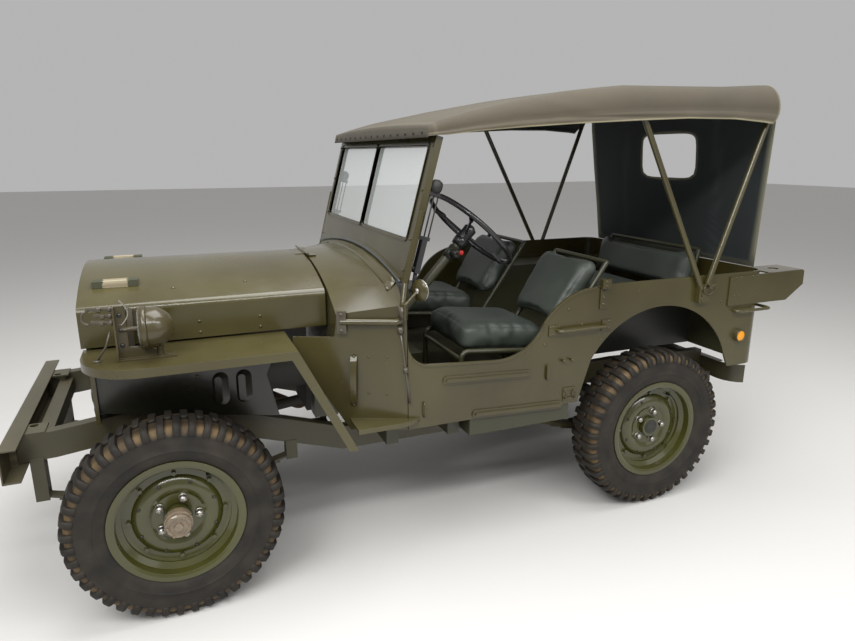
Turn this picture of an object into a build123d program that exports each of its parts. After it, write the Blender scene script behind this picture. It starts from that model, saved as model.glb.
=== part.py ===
from build123d import *
import math
import os

# Quarter-ton four-wheel-drive army car with its canvas top raised.
# Millimetres. X runs to the car's left, Y runs aft from the front axle, Z up from the ground.

# Wheels and axles
wheelbase = 2032
track = 1245
tyre_radius = 364
tyre_width = 164
rim_flange_radius = 224
rim_well_radius = 186
nave_radius = 48
rim_width = 136
spindle_radius = 22
running_gap = 0.3
axle_tube_radius = 38
kingpin_x = 530
ball_radius = 62
knuckle_wall = 12
steering_arm = 150
crank_x = 160
pitman_x = 260
pitman_y = 600
diff_x = -170
diff_radius = 122
wheel_x = track / 2
axle_z = tyre_radius

# Frame
rail_depth = 100
rail_width = 45
rail_outer_x = 371
rail_mid_x = rail_outer_x - rail_width / 2
front_spring_x = 346
rear_spring_x = 432
spring_width = 44
leaf_thickness = 7
leaf_count = 7
bumper_half_length = 515
bumper_front_y = -525
bumper_bottom_z = 520
bumper_height = 120
bumper_flange = 55

# Body
sheet = 6
panel = 8
body_half_width = 674
body_rear_y = 2620
rear_corner_radius = 70
rail_z = 1057
door_front_y = 842
sill_z = 556
rear_sill_z = 610
front_floor_z = 566
rear_floor_z = 672
riser_y = 1600
wheelhouse_x = 430
wheelhouse_top_z = 950
wheelhouse_rear_y = 2430
firewall_y = 600
fender_top_z = 932
fender_front_y = -245
fender_break_y = 430
fender_foot = (632, 530)
fender_outer_x = 722
fender_lip = 30
apron_x = 415
hood_front_y = -250
hood_rear_y = 592
hood_half_width = 446
hood_edge_z = 940
hood_bend_z = 1080
hood_crest_z = 1165
grille_y = -236
grille_thickness = 14
grille_half_width = hood_half_width - sheet - 6

# Windshield, top and seats
windshield_foot = (828, 1124)
windshield_lean = 15
windshield_half_width = 646
windshield_height = 536
windshield_thickness = 26
glass_sill = 160
bow_foot = (2230, 1060)
bow_tube_radius = 12
wheel_rim_radius = 215
column_angle = 47
steering_wheel_centre = (340, 1250, 1268)
seat_x = 350
seat_width = 420

# The origin is on the ground, midway between the foremost and the rearmost point.
foremost_y = bumper_front_y
bracket_tip_y = body_rear_y + 242
to_middle = Location((0, -(foremost_y + bracket_tip_y) / 2, 0))

os.makedirs("parts", exist_ok=True)


def save(piece, name, place=Location()):
    """Label a finished piece and write it in its place, with the origin at the middle of the car."""
    piece.part.label = name
    export_step(piece.part.moved(to_middle * place), f"parts/{name}.step")


def side_plate(x, thickness, *points):
    """Add a plate with a closed outline of (y, z) points, from x towards the car's left."""
    with BuildSketch(Plane.YZ.offset(x)) as outline:
        with BuildLine():
            Polyline(*points, close=True)
        make_face()
    extrude(outline.sketch, amount=thickness)


def bent_tube(radius, bend, *points):
    """Sweep a round bar along straight runs joined by arcs of one bend radius."""
    with BuildLine() as path:
        FilletPolyline(*points, radius=bend)
    with BuildSketch(Plane(path.line @ 0, z_dir=path.line % 0)) as section:
        Circle(radius)
    sweep(section.sketch, path=path.line)


def straight_bar(radius, start, end, mode=Mode.ADD):
    """Add a round bar between two points, or cut its hole."""
    run = Vector(*end) - Vector(*start)
    with BuildSketch(Plane(start, z_dir=run.normalized())) as section:
        Circle(radius)
    extrude(section.sketch, amount=run.length, mode=mode)


def block(low, high, mode=Mode.ADD):
    """Add or cut a box between two opposite corners."""
    size = Vector(*high) - Vector(*low)
    with Locations((Vector(*low) + Vector(*high)) / 2):
        Box(abs(size.X), abs(size.Y), abs(size.Z), mode=mode)


# Propeller shafts run from the transfer case to both axle pinions.
shaft_radius = 25
case_z = 450
front_shaft = ((diff_x, 228.5, axle_z), (diff_x, 876, case_z))
rear_shaft = ((diff_x, 1084, case_z), (diff_x, wheelbase - 228.5, axle_z))

# Ladder frame: two deep rails that rise over both axles, joined by crossmembers.
# Columns: y, z of the rail's top edge.
rail_top = (
    (-500, 626), (-380, 632), (-130, 663), (150, 634), (660, 475),
    (1500, 475), (1760, 596), (2030, 606), (2590, 590),
)
# Columns: y at the middle, width along y, z of the underside, height.
crossmembers = (
    (-420, 50, 545, 60),
    (-160, 70, 560, 49.7),
    (1145, 70, 375, 36),
    (1560, 60, 440, 50),
    (1850, 60, 510, 60),
    (2555, 50, 500, 70),
)
# Leaf springs sit under the axle tubes; their eyes hang in brackets on the rails.
# Columns: x of the spring, y of the axle, half length, z of the eyes.
springs = (
    (front_spring_x, 0, 445, 392),
    (rear_spring_x, wheelbase, 520, 400),
)
spring_seat_z = axle_z - axle_tube_radius - running_gap


def rail_low(y):
    """Height of the frame rail's lower edge at y."""
    for (near_y, near_z), (far_y, far_z) in zip(rail_top, rail_top[1:]):
        if near_y <= y <= far_y:
            return near_z + (far_z - near_z) * (y - near_y) / (far_y - near_y) - rail_depth


with BuildPart() as frame:
    for side in (1, -1):
        side_plate(
            side * rail_mid_x - rail_width / 2, rail_width,
            *rail_top, *[(y, z - rail_depth) for y, z in reversed(rail_top)],
        )
    inner_x = rail_outer_x - rail_width
    for y, width, z, height in crossmembers:
        block((-inner_x, y - width / 2, z), (inner_x, y + width / 2, z + height))
    straight_bar(shaft_radius + 9, *rear_shaft, mode=Mode.SUBTRACT)
    for side in (1, -1):
        with BuildSketch(Plane.XY.offset(628)):
            with Locations((side * 325, -452)):
                Rectangle(92, 90)
            with Locations((side * 298, -450)):
                Circle(14, mode=Mode.SUBTRACT)
        extrude(amount=bumper_bottom_z + bumper_height - 5 - running_gap - 628)
    for spring_x, axle_y, half_length, eye_z in springs:
        for side in (1, -1):
            for eye_y in (axle_y - half_length, axle_y + half_length):
                middle = side * spring_x
                cheek = side * (spring_width / 2 + sheet + running_gap)
                web_x = side * min(spring_x - abs(cheek), rail_outer_x - sheet)
                top_z = max(rail_low(eye_y) + 10, eye_z + 36)
                block((web_x, eye_y - 22, eye_z - 20), (middle + cheek, eye_y + 22, top_z))
                slot = spring_width / 2 + running_gap
                block(
                    (middle - slot, eye_y - 60, eye_z - 60),
                    (middle + slot, eye_y + 60, eye_z + 17 + running_gap),
                    mode=Mode.SUBTRACT,
                )
save(frame, "frame")

# Front bumper: one pressed channel, open towards the frame.
with BuildPart() as front_bumper:
    web = 5
    side_plate(
        -bumper_half_length, 2 * bumper_half_length,
        (bumper_front_y, bumper_bottom_z),
        (bumper_front_y + bumper_flange, bumper_bottom_z),
        (bumper_front_y + bumper_flange, bumper_bottom_z + web),
        (bumper_front_y + web, bumper_bottom_z + web),
        (bumper_front_y + web, bumper_bottom_z + bumper_height - web),
        (bumper_front_y + bumper_flange, bumper_bottom_z + bumper_height - web),
        (bumper_front_y + bumper_flange, bumper_bottom_z + bumper_height),
        (bumper_front_y, bumper_bottom_z + bumper_height),
    )
save(front_bumper, "front_bumper")

# Wooden filler that packs the bumper channel in front of the frame rails.
with BuildPart() as bumper_filler_block:
    block(
        (-390, bumper_front_y + web, bumper_bottom_z + web + 0.3),
        (390, -500, bumper_bottom_z + bumper_height - web - 0.3),
    )
save(bumper_filler_block, "bumper_filler_block")

# Rear bumperettes, one under each rear corner, with the pintle hook between them.
with BuildPart() as rear_bumperettes:
    for side in (1, -1):
        with BuildSketch(Plane.XY.offset(470)):
            with BuildLine():
                Line((side * 330, 2590), (side * 470, 2590))
                ThreePointArc((side * 470, 2590), (side * 545, 2606), (side * 590, 2660))
                Line((side * 590, 2660), (side * 583, 2664))
                ThreePointArc((side * 583, 2664), (side * 540, 2613), (side * 470, 2598))
                Polyline((side * 470, 2598), (side * 330, 2598), (side * 330, 2590))
            make_face()
        extrude(amount=90)
        block((side * 330, 2596, 470), (side * 480, 2626, 476))
        block((side * 330, 2596, 554), (side * 480, 2626, 560))
    block((-335, 2590, 520), (335, 2598, 560))
    straight_bar(16, (0, 2598, 540), (0, 2660, 540))
    with BuildSketch(Plane.YZ.offset(-14)):
        with Locations((2700, 540)):
            Circle(44)
            Circle(24, mode=Mode.SUBTRACT)
    extrude(amount=28)
save(rear_bumperettes, "rear_bumperettes")

# Leaf springs: each leaf is an arc round one centre above the axle, shorter towards the bottom.
with BuildPart() as leaf_springs:
    for spring_x, axle_y, half_length, eye_z in springs:
        seat_z = spring_seat_z
        sag = eye_z - seat_z
        arc_radius = (half_length ** 2 + sag ** 2) / (2 * sag)
        half_angle = math.degrees(math.asin(half_length / arc_radius))
        for side in (1, -1):
            low_x = side * spring_x - spring_width / 2
            with BuildSketch(Plane.YZ.offset(low_x)):
                for leaf in range(leaf_count):
                    inner = arc_radius + leaf * leaf_thickness
                    reach = half_angle * (1 - 0.12 * leaf)
                    with BuildLine():
                        top = CenterArc((axle_y, seat_z + arc_radius), inner, -90 - reach, 2 * reach)
                        base = CenterArc(
                            (axle_y, seat_z + arc_radius), inner + leaf_thickness, -90 - reach, 2 * reach
                        )
                        Line(top @ 0, base @ 0)
                        Line(top @ 1, base @ 1)
                    make_face()
                with Locations((axle_y - half_length, eye_z), (axle_y + half_length, eye_z)):
                    Circle(17)
            extrude(amount=spring_width)
            under_z = seat_z - leaf_count * leaf_thickness
            plate_half = spring_width / 2 + 20
            block(
                (side * spring_x - plate_half, axle_y - 60, under_z - 10),
                (side * spring_x + plate_half, axle_y + 96, under_z + 2),
            )
            reach = axle_tube_radius + 9
            for bolt_x in (side * spring_x - spring_width / 2 - 9, side * spring_x + spring_width / 2 + 9):
                bent_tube(
                    6, 30,
                    (bolt_x, axle_y - reach, under_z - 20), (bolt_x, axle_y - reach, axle_z + reach),
                    (bolt_x, axle_y + reach, axle_z + reach), (bolt_x, axle_y + reach, under_z - 20),
                )
            for clip_y in (axle_y - half_length / 2, axle_y + half_length / 2):
                rise = arc_radius - math.sqrt(arc_radius ** 2 - (half_length / 2) ** 2)
                block(
                    (side * spring_x - spring_width / 2 - 4, clip_y - 13, seat_z + rise - 30),
                    (side * spring_x + spring_width / 2 + 4, clip_y + 13, seat_z + rise + 6),
                )
save(leaf_springs, "leaf_springs")

# Telescopic shock absorbers from the spring plates up to the frame rails.
# Columns: the upper eye, then the lower eye, each as x on the left side, y, z.
damper_foot_z = spring_seat_z - leaf_count * leaf_thickness + 2 + 17 + running_gap
dampers = (
    ((392, 240, 545), (392, 78, damper_foot_z)),
    ((392, 2200, 560), (392, wheelbase + 78, damper_foot_z)),
)
with BuildPart() as shock_absorbers:
    for upper, lower in dampers:
        for side in (1, -1):
            top = Vector(side * upper[0], *upper[1:])
            foot = Vector(side * lower[0], *lower[1:])
            run = top - foot
            straight_bar(8, tuple(foot + run * 0.05), tuple(foot + run * 0.2))
            straight_bar(17, tuple(foot + run * 0.1), tuple(foot + run * 0.56))
            straight_bar(20, tuple(foot + run * 0.5), tuple(foot + run * 0.96))
            for eye in (top, foot):
                straight_bar(17, tuple(eye - Vector(14, 0, 0)), tuple(eye + Vector(14, 0, 0)))
            straight_bar(8, (side * (rail_outer_x + running_gap), top.Y, top.Z), (side * 410, top.Y, top.Z))
save(shock_absorbers, "shock_absorbers")


def differential(axle_y, nose):
    """Add the offset bowl-shaped axle casing; nose is the way its pinion points along y."""
    with BuildSketch(Plane((diff_x, axle_y, axle_z), x_dir=(1, 0, 0), z_dir=(0, 0, 1))) as half_section:
        with BuildLine():
            Polyline((0, -108 * nose), (70, -104 * nose))
            ThreePointArc((70, -104 * nose), (112, -70 * nose), (diff_radius, -10 * nose))
            Polyline(
                (diff_radius, -10 * nose), (104, 60 * nose), (52, 130 * nose),
                (44, 225 * nose), (0, 225 * nose), (0, -108 * nose),
            )
        make_face()
    revolve(half_section.sketch, axis=Axis((diff_x, axle_y, axle_z), (0, 1, 0)))
    cover = Plane((diff_x, axle_y - 62 * nose, axle_z), x_dir=(1, 0, 0), z_dir=(0, -nose, 0))
    with BuildSketch(cover) as flange:
        Circle(diff_radius + 6)
    extrude(flange.sketch, amount=9)
    with BuildSketch(cover.offset(9)) as bolt_heads:
        with PolarLocations(diff_radius - 5, 10):
            RegularPolygon(7, 6)
    extrude(bolt_heads.sketch, amount=6)
    side_plate(
        diff_x - 5, 10,
        (axle_y + 60 * nose, axle_z + 60), (axle_y + 210 * nose, axle_z + 38),
        (axle_y + 210 * nose, axle_z - 38), (axle_y + 60 * nose, axle_z - 60),
    )


# Front axle: tube with the casing offset to the right and a steering ball at each end.
with BuildPart() as front_axle:
    straight_bar(axle_tube_radius, (-kingpin_x + 20, 0, axle_z), (kingpin_x - 20, 0, axle_z))
    differential(0, 1)
    with Locations((kingpin_x, 0, axle_z), (-kingpin_x, 0, axle_z)):
        Sphere(ball_radius)
    for side in (1, -1):
        split(bisect_by=Plane.YZ.offset(side * (kingpin_x + 34)), keep=Keep.BOTTOM if side == 1 else Keep.TOP)
save(front_axle, "front_axle")

# Rear axle: the same casing turned round, with fixed spindles and brake backing plates.
with BuildPart() as rear_axle:
    spindle_end = wheel_x + 34
    straight_bar(axle_tube_radius, (-574, wheelbase, axle_z), (574, wheelbase, axle_z))
    straight_bar(spindle_radius, (-spindle_end, wheelbase, axle_z), (spindle_end, wheelbase, axle_z))
    differential(wheelbase, -1)
    for side in (1, -1):
        straight_bar(122, (side * 568, wheelbase, axle_z), (side * 574, wheelbase, axle_z))
save(rear_axle, "rear_axle")

# Steering knuckles: a cup round the ball, pinned above and below, with backing plate, spindle and arm.
cup_inner = ball_radius + 1
cup_outer = cup_inner + knuckle_wall
cup_mouth = -14
plate_x = 52
plate_radius = 122
arm_z = axle_z + cup_outer + 2
arm_thickness = 14


def on_sphere(radius, x):
    """Point of a sphere's half section at x along its axis."""
    return (x, math.sqrt(radius ** 2 - x ** 2))


for side, name in ((1, "left_knuckle"), (-1, "right_knuckle")):
    pin_x = side * kingpin_x
    spindle_end = wheel_x + 34 - kingpin_x
    with BuildPart() as knuckle:
        with BuildSketch(Plane((pin_x, 0, axle_z), x_dir=(side, 0, 0), z_dir=(0, -side, 0))):
            with BuildLine():
                shoulder = math.sqrt(cup_outer ** 2 - spindle_radius ** 2)
                Polyline(
                    (cup_inner, 0), (spindle_end, 0),
                    (spindle_end, spindle_radius), (shoulder, spindle_radius),
                )
                ThreePointArc(
                    (shoulder, spindle_radius),
                    on_sphere(cup_outer, 65), on_sphere(cup_outer, plate_x + sheet),
                )
                Polyline(
                    on_sphere(cup_outer, plate_x + sheet), (plate_x + sheet, plate_radius),
                    (plate_x, plate_radius), on_sphere(cup_outer, plate_x),
                )
                ThreePointArc(
                    on_sphere(cup_outer, plate_x), on_sphere(cup_outer, 20), on_sphere(cup_outer, cup_mouth)
                )
                Line(on_sphere(cup_outer, cup_mouth), on_sphere(cup_inner, cup_mouth))
                ThreePointArc(on_sphere(cup_inner, cup_mouth), on_sphere(cup_inner, 40), (cup_inner, 0))
            make_face()
        revolve(axis=Axis((pin_x, 0, axle_z), (1, 0, 0)))
        for end in (1, -1):
            pin_low = (pin_x, 0, axle_z + end * (cup_inner + 1))
            straight_bar(26, pin_low, (pin_x, 0, axle_z + end * (cup_outer + 8)))
        with BuildSketch(Plane.XY.offset(arm_z)):
            with BuildLine():
                Polyline(
                    (pin_x - 22, 0), (pin_x - 14, -steering_arm),
                    (pin_x + 14, -steering_arm), (pin_x + 22, 0), close=True,
                )
            make_face()
            with Locations((pin_x, -steering_arm)):
                Circle(17)
        extrude(amount=arm_thickness)
    save(knuckle, name)

# Steering linkage: bell crank on the axle, tie rods to the knuckle arms, drag link, pitman arm.
rod_z = arm_z + 32
with BuildPart() as bell_crank:
    with BuildSketch(Plane.XY.offset(arm_z)):
        with BuildLine():
            Polyline(
                (crank_x - 24, 0), (crank_x - 15, -steering_arm),
                (crank_x + 15, -steering_arm), (crank_x + 24, 0), close=True,
            )
        make_face()
        with BuildLine():
            Polyline((crank_x, -24), (pitman_x, -14), (pitman_x, 14), (crank_x, 24), close=True)
        make_face()
        with Locations((crank_x, -steering_arm), (pitman_x, 0)):
            Circle(17)
        with Locations((crank_x, 0)):
            Circle(26)
    extrude(amount=arm_thickness)
    straight_bar(16, (crank_x, 0, axle_z + axle_tube_radius + 6), (crank_x, 0, arm_z + 30))
save(bell_crank, "steering_bell_crank")

with BuildPart() as tie_rods:
    straight_bar(11, (-kingpin_x, -steering_arm, rod_z), (kingpin_x, -steering_arm, rod_z))
    for x in (-kingpin_x, crank_x, kingpin_x):
        straight_bar(15, (x, -steering_arm, rod_z - 14), (x, -steering_arm, rod_z + 14))
        straight_bar(8, (x, -steering_arm, arm_z + arm_thickness + running_gap), (x, -steering_arm, rod_z))
save(tie_rods, "tie_rods")

pitman_length = pitman_x - crank_x
with BuildPart() as drag_link:
    straight_bar(11, (pitman_x, 0, rod_z), (pitman_x, pitman_y, rod_z))
    straight_bar(15, (pitman_x, 0, rod_z - 14), (pitman_x, 0, rod_z + 14))
    straight_bar(8, (pitman_x, 0, arm_z + arm_thickness + running_gap), (pitman_x, 0, rod_z))
save(drag_link, "drag_link")

with BuildPart() as pitman_arm:
    pivot_z = rod_z + pitman_length
    with BuildSketch(Plane.YZ.offset(pitman_x + 11.5)):
        with Locations((pitman_y, rod_z + pitman_length / 2)):
            Rectangle(26, pitman_length)
        with Locations((pitman_y, rod_z), (pitman_y, pivot_z)):
            Circle(17)
    extrude(amount=12)
save(pitman_arm, "pitman_arm")

# Engine block with the gearbox and transfer case behind it, as the plain masses they are.
with BuildPart() as engine:
    block((-205, 20, 620), (205, 560, 1010))
    block((-120, 40, 520), (120, 420, 620))
    block((-130, 560, 470), (130, 1080, 640))
    block((-230, 880, 400), (20, 1080, 540))
    for side in (1, -1):
        block((side * 200, 90, 590), (side * (rail_outer_x - rail_width - running_gap), 150, 630))
    block((-60, 1060, 411 + running_gap), (60, 1140, 470))
save(engine, "engine_and_gearbox")

with BuildPart() as propeller_shafts:
    straight_bar(shaft_radius, *front_shaft)
    straight_bar(shaft_radius, *rear_shaft)
save(propeller_shafts, "propeller_shafts")

# Exhaust: pipe down from the engine's right side, silencer and tail pipe behind it.
with BuildPart() as exhaust:
    bent_tube(
        20, 50, (-225.3, 200, 800), (-225.3, 200, 600), (-280, 420, 440), (-280, 600, 335),
        (-470, 760, 335), (-470, 960, 440), (-470, 1100, 440),
    )
    straight_bar(58, (-470, 1100, 440), (-470, 1430, 440))
    bent_tube(17, 40, (-490, 1429, 440), (-490, 1560, 440), (-600, 1632, 425))
save(exhaust, "exhaust")

# Radiator: core between the side straps with a tank above and below.
with BuildPart() as radiator:
    block((-225, -190, 660), (225, -130, 980))
    block((-215, -200, 980), (215, -120, 1035))
    block((-215, -195, 610), (215, -125, 660))
save(radiator, "radiator")


# Wheels: each is drawn round the x axis, facing the car's left, and then put in its place.
# The spare stands upright behind the rear panel, on the right of the middle.
driven_nose = 50
plain_nose = 38
wheel_nut_circle = 70
rim_nut_circle = 158
spare_x = -310
spare_z = 830
spare_y = body_rear_y + 118
# Columns: name, place of the centre, turn about the upright axis, how far the hub's nose stands out.
wheels = (
    ("front_left", (wheel_x, 0, axle_z), 0, driven_nose),
    ("front_right", (-wheel_x, 0, axle_z), 180, driven_nose),
    ("rear_left", (wheel_x, wheelbase, axle_z), 0, plain_nose),
    ("rear_right", (-wheel_x, wheelbase, axle_z), 180, plain_nose),
    ("spare", (spare_x, spare_y, spare_z), 90, 0),
)
for name, centre, turn, hub_nose in wheels:
    place = Location(centre, (0, 0, turn))
    half = rim_width / 2
    flange = rim_flange_radius

    # Tyre: one closed ring, open where the rim sits in it, with square shoulders.
    with BuildPart() as tyre:
        with BuildSketch(Plane.XZ):
            shoulder_x = tyre_width / 2 - 8
            tread_x = tyre_width / 2 - 18
            with BuildLine():
                Polyline(
                    (half, flange + 5), (half - 6.4, flange + 1), (half - 12.6, flange - 18),
                    (12.6 - half, flange - 18), (6.4 - half, flange + 1), (-half, flange + 5),
                )
                ThreePointArc((half, flange + 5), (tyre_width / 2, 290), (shoulder_x, 340))
                Line((shoulder_x, 340), (tread_x, 356))
                ThreePointArc((tread_x, 356), (0, tyre_radius), (-tread_x, 356))
                Line((-tread_x, 356), (-shoulder_x, 340))
                ThreePointArc((-shoulder_x, 340), (-tyre_width / 2, 290), (-half, flange + 5))
            make_face()
        revolve(axis=Axis.X)
    save(tyre, f"{name}_tyre", place)

    # Wheel: two-piece divided rim with a drop centre, dished disc, hub and brake drum behind it.
    with BuildPart() as road_wheel:
        with BuildSketch(Plane.XZ):
            with BuildLine():
                Polyline(
                    (half, flange), (half - 6, flange), (half - 12, flange - 19), (30, flange - 21),
                    (18, rim_well_radius), (-18, rim_well_radius), (-30, flange - 21),
                    (12 - half, flange - 19), (6 - half, flange), (-half, flange),
                    (-half, flange - 16), (-half + 4, flange - 26), (-34, flange - 28),
                    (-22, rim_well_radius - 8), (22, rim_well_radius - 8), (34, flange - 28),
                    (half - 4, flange - 26), (half, flange - 16), close=True,
                )
            make_face()
            with BuildLine():
                Line((12, rim_well_radius - 4), (8, 170))
                Line((8, 170), (8, 150))
                ThreePointArc((8, 150), (28, 116), (20, 88))
                Polyline((20, 88), (18, 84), (18, nave_radius), (12, nave_radius), (12, 86), (14, 90))
                ThreePointArc((14, 90), (22, 116), (2, 150))
                Polyline((2, 150), (2, 170), (5, rim_well_radius - 4), (12, rim_well_radius - 4))
            make_face()
            if hub_nose:
                bore = spindle_radius + running_gap
                with BuildLine():
                    Polyline(
                        (hub_nose, 44), (hub_nose, bore), (-6, bore), (-6, 46), (0, 60), (0, 108),
                        (-28, 108), (-28, 118), (6, 118), (13, 84), (13, 44), close=True,
                    )
                make_face()
        revolve(axis=Axis.X)
        with BuildSketch(Plane.YZ.offset(17)):
            with PolarLocations(wheel_nut_circle, 5):
                RegularPolygon(11, 6)
        extrude(amount=14)
        with BuildSketch(Plane.YZ.offset(7)):
            with PolarLocations(rim_nut_circle, 8):
                RegularPolygon(8, 6)
        extrude(amount=12)
        if hub_nose == driven_nose:
            with BuildSketch(Plane.XZ):
                with BuildLine():
                    Polyline(
                        (49, 0), (49, 47), (75, 47), (77, 43), (93, 43), (97, 39), (97, 30), (94, 28),
                        (94, 0), close=True,
                    )
                make_face()
            revolve(axis=Axis.X)
            with BuildSketch(Plane.YZ.offset(92)):
                with PolarLocations(36, 6):
                    RegularPolygon(5, 6)
                RegularPolygon(15, 6)
            extrude(amount=10)
    save(road_wheel, f"{name}_wheel", place)

# Body sides: one sheet each with the scooped doorway and the arch over the rear wheel.
# The doorway's edge, from its front lip down the scoop, along the sill and up to the rail.
door_lip = (door_front_y, 900)
door_scoop = (935, 808)
door_sill = (1212, 790)
door_turn = (1420, 905)
door_top = (1660, 1048)
arch_front = (1664, 735)
arch_top = (2030, 938)
arch_rear = (2385, 735)
handle_z = 884
# Columns: y and z of the rib's middle, its length, its tilt in degrees.
pressed_ribs = (
    (1178, 725, 390, -3),
    (1320, 568, 420, -2.5),
)
edge_width = 10
edge_proud = 4
with BuildPart() as body_sides:
    for side in (1, -1):
        low_x = body_half_width - panel if side == 1 else -body_half_width
        with BuildSketch(Plane.YZ.offset(low_x)):
            with BuildLine():
                Line((door_front_y, sill_z), door_lip)
                TangentArc(door_lip, door_scoop, tangent=(0, -1))
                Line(door_scoop, door_sill)
                rise = TangentArc(door_sill, door_turn, tangent=Vector(*door_sill) - Vector(*door_scoop))
                TangentArc(door_turn, door_top, tangent=rise % 1)
                Polyline(
                    door_top, (1720, rail_z), (body_rear_y - rear_corner_radius, rail_z),
                    (body_rear_y - rear_corner_radius, rear_sill_z), (2442, rear_sill_z), arch_rear,
                )
                ThreePointArc(arch_rear, arch_top, arch_front)
                Polyline(arch_front, (1606, sill_z), (door_front_y, sill_z))
            make_face()
        extrude(amount=panel)
        for y in (1480, 1725):
            block(
                (side * body_half_width, y - 18, handle_z - 12),
                (side * (body_half_width + 4), y + 18, handle_z + 12),
            )
        out_x = side * (body_half_width + 26)
        bent_tube(
            7, 16,
            (side * body_half_width, 1485, handle_z), (out_x, 1485, handle_z), (out_x, 1720, handle_z),
            (side * body_half_width, 1720, handle_z),
        )
        pressed_face = Plane((side * body_half_width, 0, 0), x_dir=(0, 1, 0), z_dir=(side, 0, 0))
        for rib_y, rib_z, rib_length, rib_tilt in pressed_ribs:
            with BuildSketch(pressed_face.offset(-1)) as rib_foot:
                with Locations(Location((rib_y, side * rib_z, 0), (0, 0, side * rib_tilt))):
                    SlotOverall(rib_length, 34)
            with BuildSketch(pressed_face.offset(6)) as rib_crest:
                with Locations(Location((rib_y, side * rib_z, 0), (0, 0, side * rib_tilt))):
                    SlotOverall(rib_length - 20, 14)
            loft([rib_foot.sketch, rib_crest.sketch])
        with BuildSketch(Plane.YZ.offset(low_x - (0 if side == 1 else edge_proud))) as rolled_edge:
            with BuildLine():
                for drop in (0, edge_width):
                    scoop = TangentArc(door_lip, door_scoop, tangent=(0, -1), mode=Mode.PRIVATE)
                    edge = (scoop @ 0.4, scoop @ 0.7, door_scoop, door_sill, door_turn, door_top)
                    lowered = [(tuple(point)[0], tuple(point)[1] - drop) for point in edge]
                    ThreePointArc(*lowered[:3])
                    Line(*lowered[2:4])
                    rise = TangentArc(*lowered[3:5], tangent=Vector(*door_sill) - Vector(*door_scoop))
                    TangentArc(*lowered[4:], tangent=rise % 1)
                    if drop:
                        Line(lowered[0], (lowered[0][0], lowered[0][1] + drop))
                        Line(lowered[-1], (lowered[-1][0], lowered[-1][1] + drop))
            make_face()
        extrude(rolled_edge.sketch, amount=panel + edge_proud)
save(body_sides, "body_sides")

# Rear panel: one sheet that turns round both rear corners.
with BuildPart() as rear_panel:
    corner_y = body_rear_y - rear_corner_radius
    corner_x = body_half_width - rear_corner_radius
    with BuildSketch(Plane.XY.offset(rear_sill_z)):
        for inset, mode in ((0, Mode.ADD), (panel, Mode.SUBTRACT)):
            reach = rear_corner_radius - inset
            diagonal = reach * math.sqrt(0.5)
            with BuildLine():
                Line((-corner_x - reach, corner_y), (corner_x + reach, corner_y))
                ThreePointArc(
                    (corner_x + reach, corner_y), (corner_x + diagonal, corner_y + diagonal),
                    (corner_x, corner_y + reach),
                )
                Line((corner_x, corner_y + reach), (-corner_x, corner_y + reach))
                ThreePointArc(
                    (-corner_x, corner_y + reach), (-corner_x - diagonal, corner_y + diagonal),
                    (-corner_x - reach, corner_y),
                )
            make_face(mode=mode)
    extrude(amount=rail_z - rear_sill_z)
    carrier_end_y = spare_y + 12 - running_gap
    with BuildSketch(Plane((spare_x, 0, spare_z), x_dir=(1, 0, 0), z_dir=(0, 0, 1))) as carrier:
        with BuildLine():
            Polyline(
                (0, body_rear_y - 1), (150, body_rear_y - 1), (150, body_rear_y + 5),
                (118, body_rear_y + 12), (80, carrier_end_y - 10), (72, carrier_end_y),
                (0, carrier_end_y), close=True,
            )
        make_face()
    revolve(carrier.sketch, axis=Axis((spare_x, 0, spare_z), (0, 1, 0)))
    for side in (1, -1):
        out_x = side * (body_half_width + 28)
        bent_tube(
            7, 20,
            (side * (body_half_width + running_gap), 2440, 880), (out_x, 2440, 880),
            (out_x, body_rear_y + 22, 880), (side * 560, body_rear_y + 22, 880),
            (side * 560, body_rear_y - 2, 880),
        )
save(rear_panel, "rear_panel")

# The steering column runs down through the toe board.
column_run = Vector(0, -math.cos(math.radians(column_angle)), -math.sin(math.radians(column_angle)))
wheel_centre = Vector(*steering_wheel_centre)
column_top = wheel_centre + column_run * 60
column_foot = wheel_centre + column_run * 920

# Floor: pan, toe board, riser to the raised rear floor, gearbox tunnel, cross sills and tank well.
floor_half = body_half_width - panel
tank_well_z = 483
tunnel_half = 170
tunnel_end_y = 1100
sill_low_z = rail_top[5][1] + running_gap
cowl_wing = (505, 450)
taper = Vector(body_half_width - cowl_wing[0], door_front_y - cowl_wing[1], 0)


def taper_plane(side, gap):
    """Upright plane of the tapered cowl side, moved inwards by a gap."""
    out = Vector(taper.Y, -taper.X, 0).normalized()
    origin = (side * (cowl_wing[0] - out.X * gap), cowl_wing[1] - out.Y * gap, 0)
    return Plane(origin, x_dir=(side * taper.X, taper.Y, 0), z_dir=(side * out.X, out.Y, 0))


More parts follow.
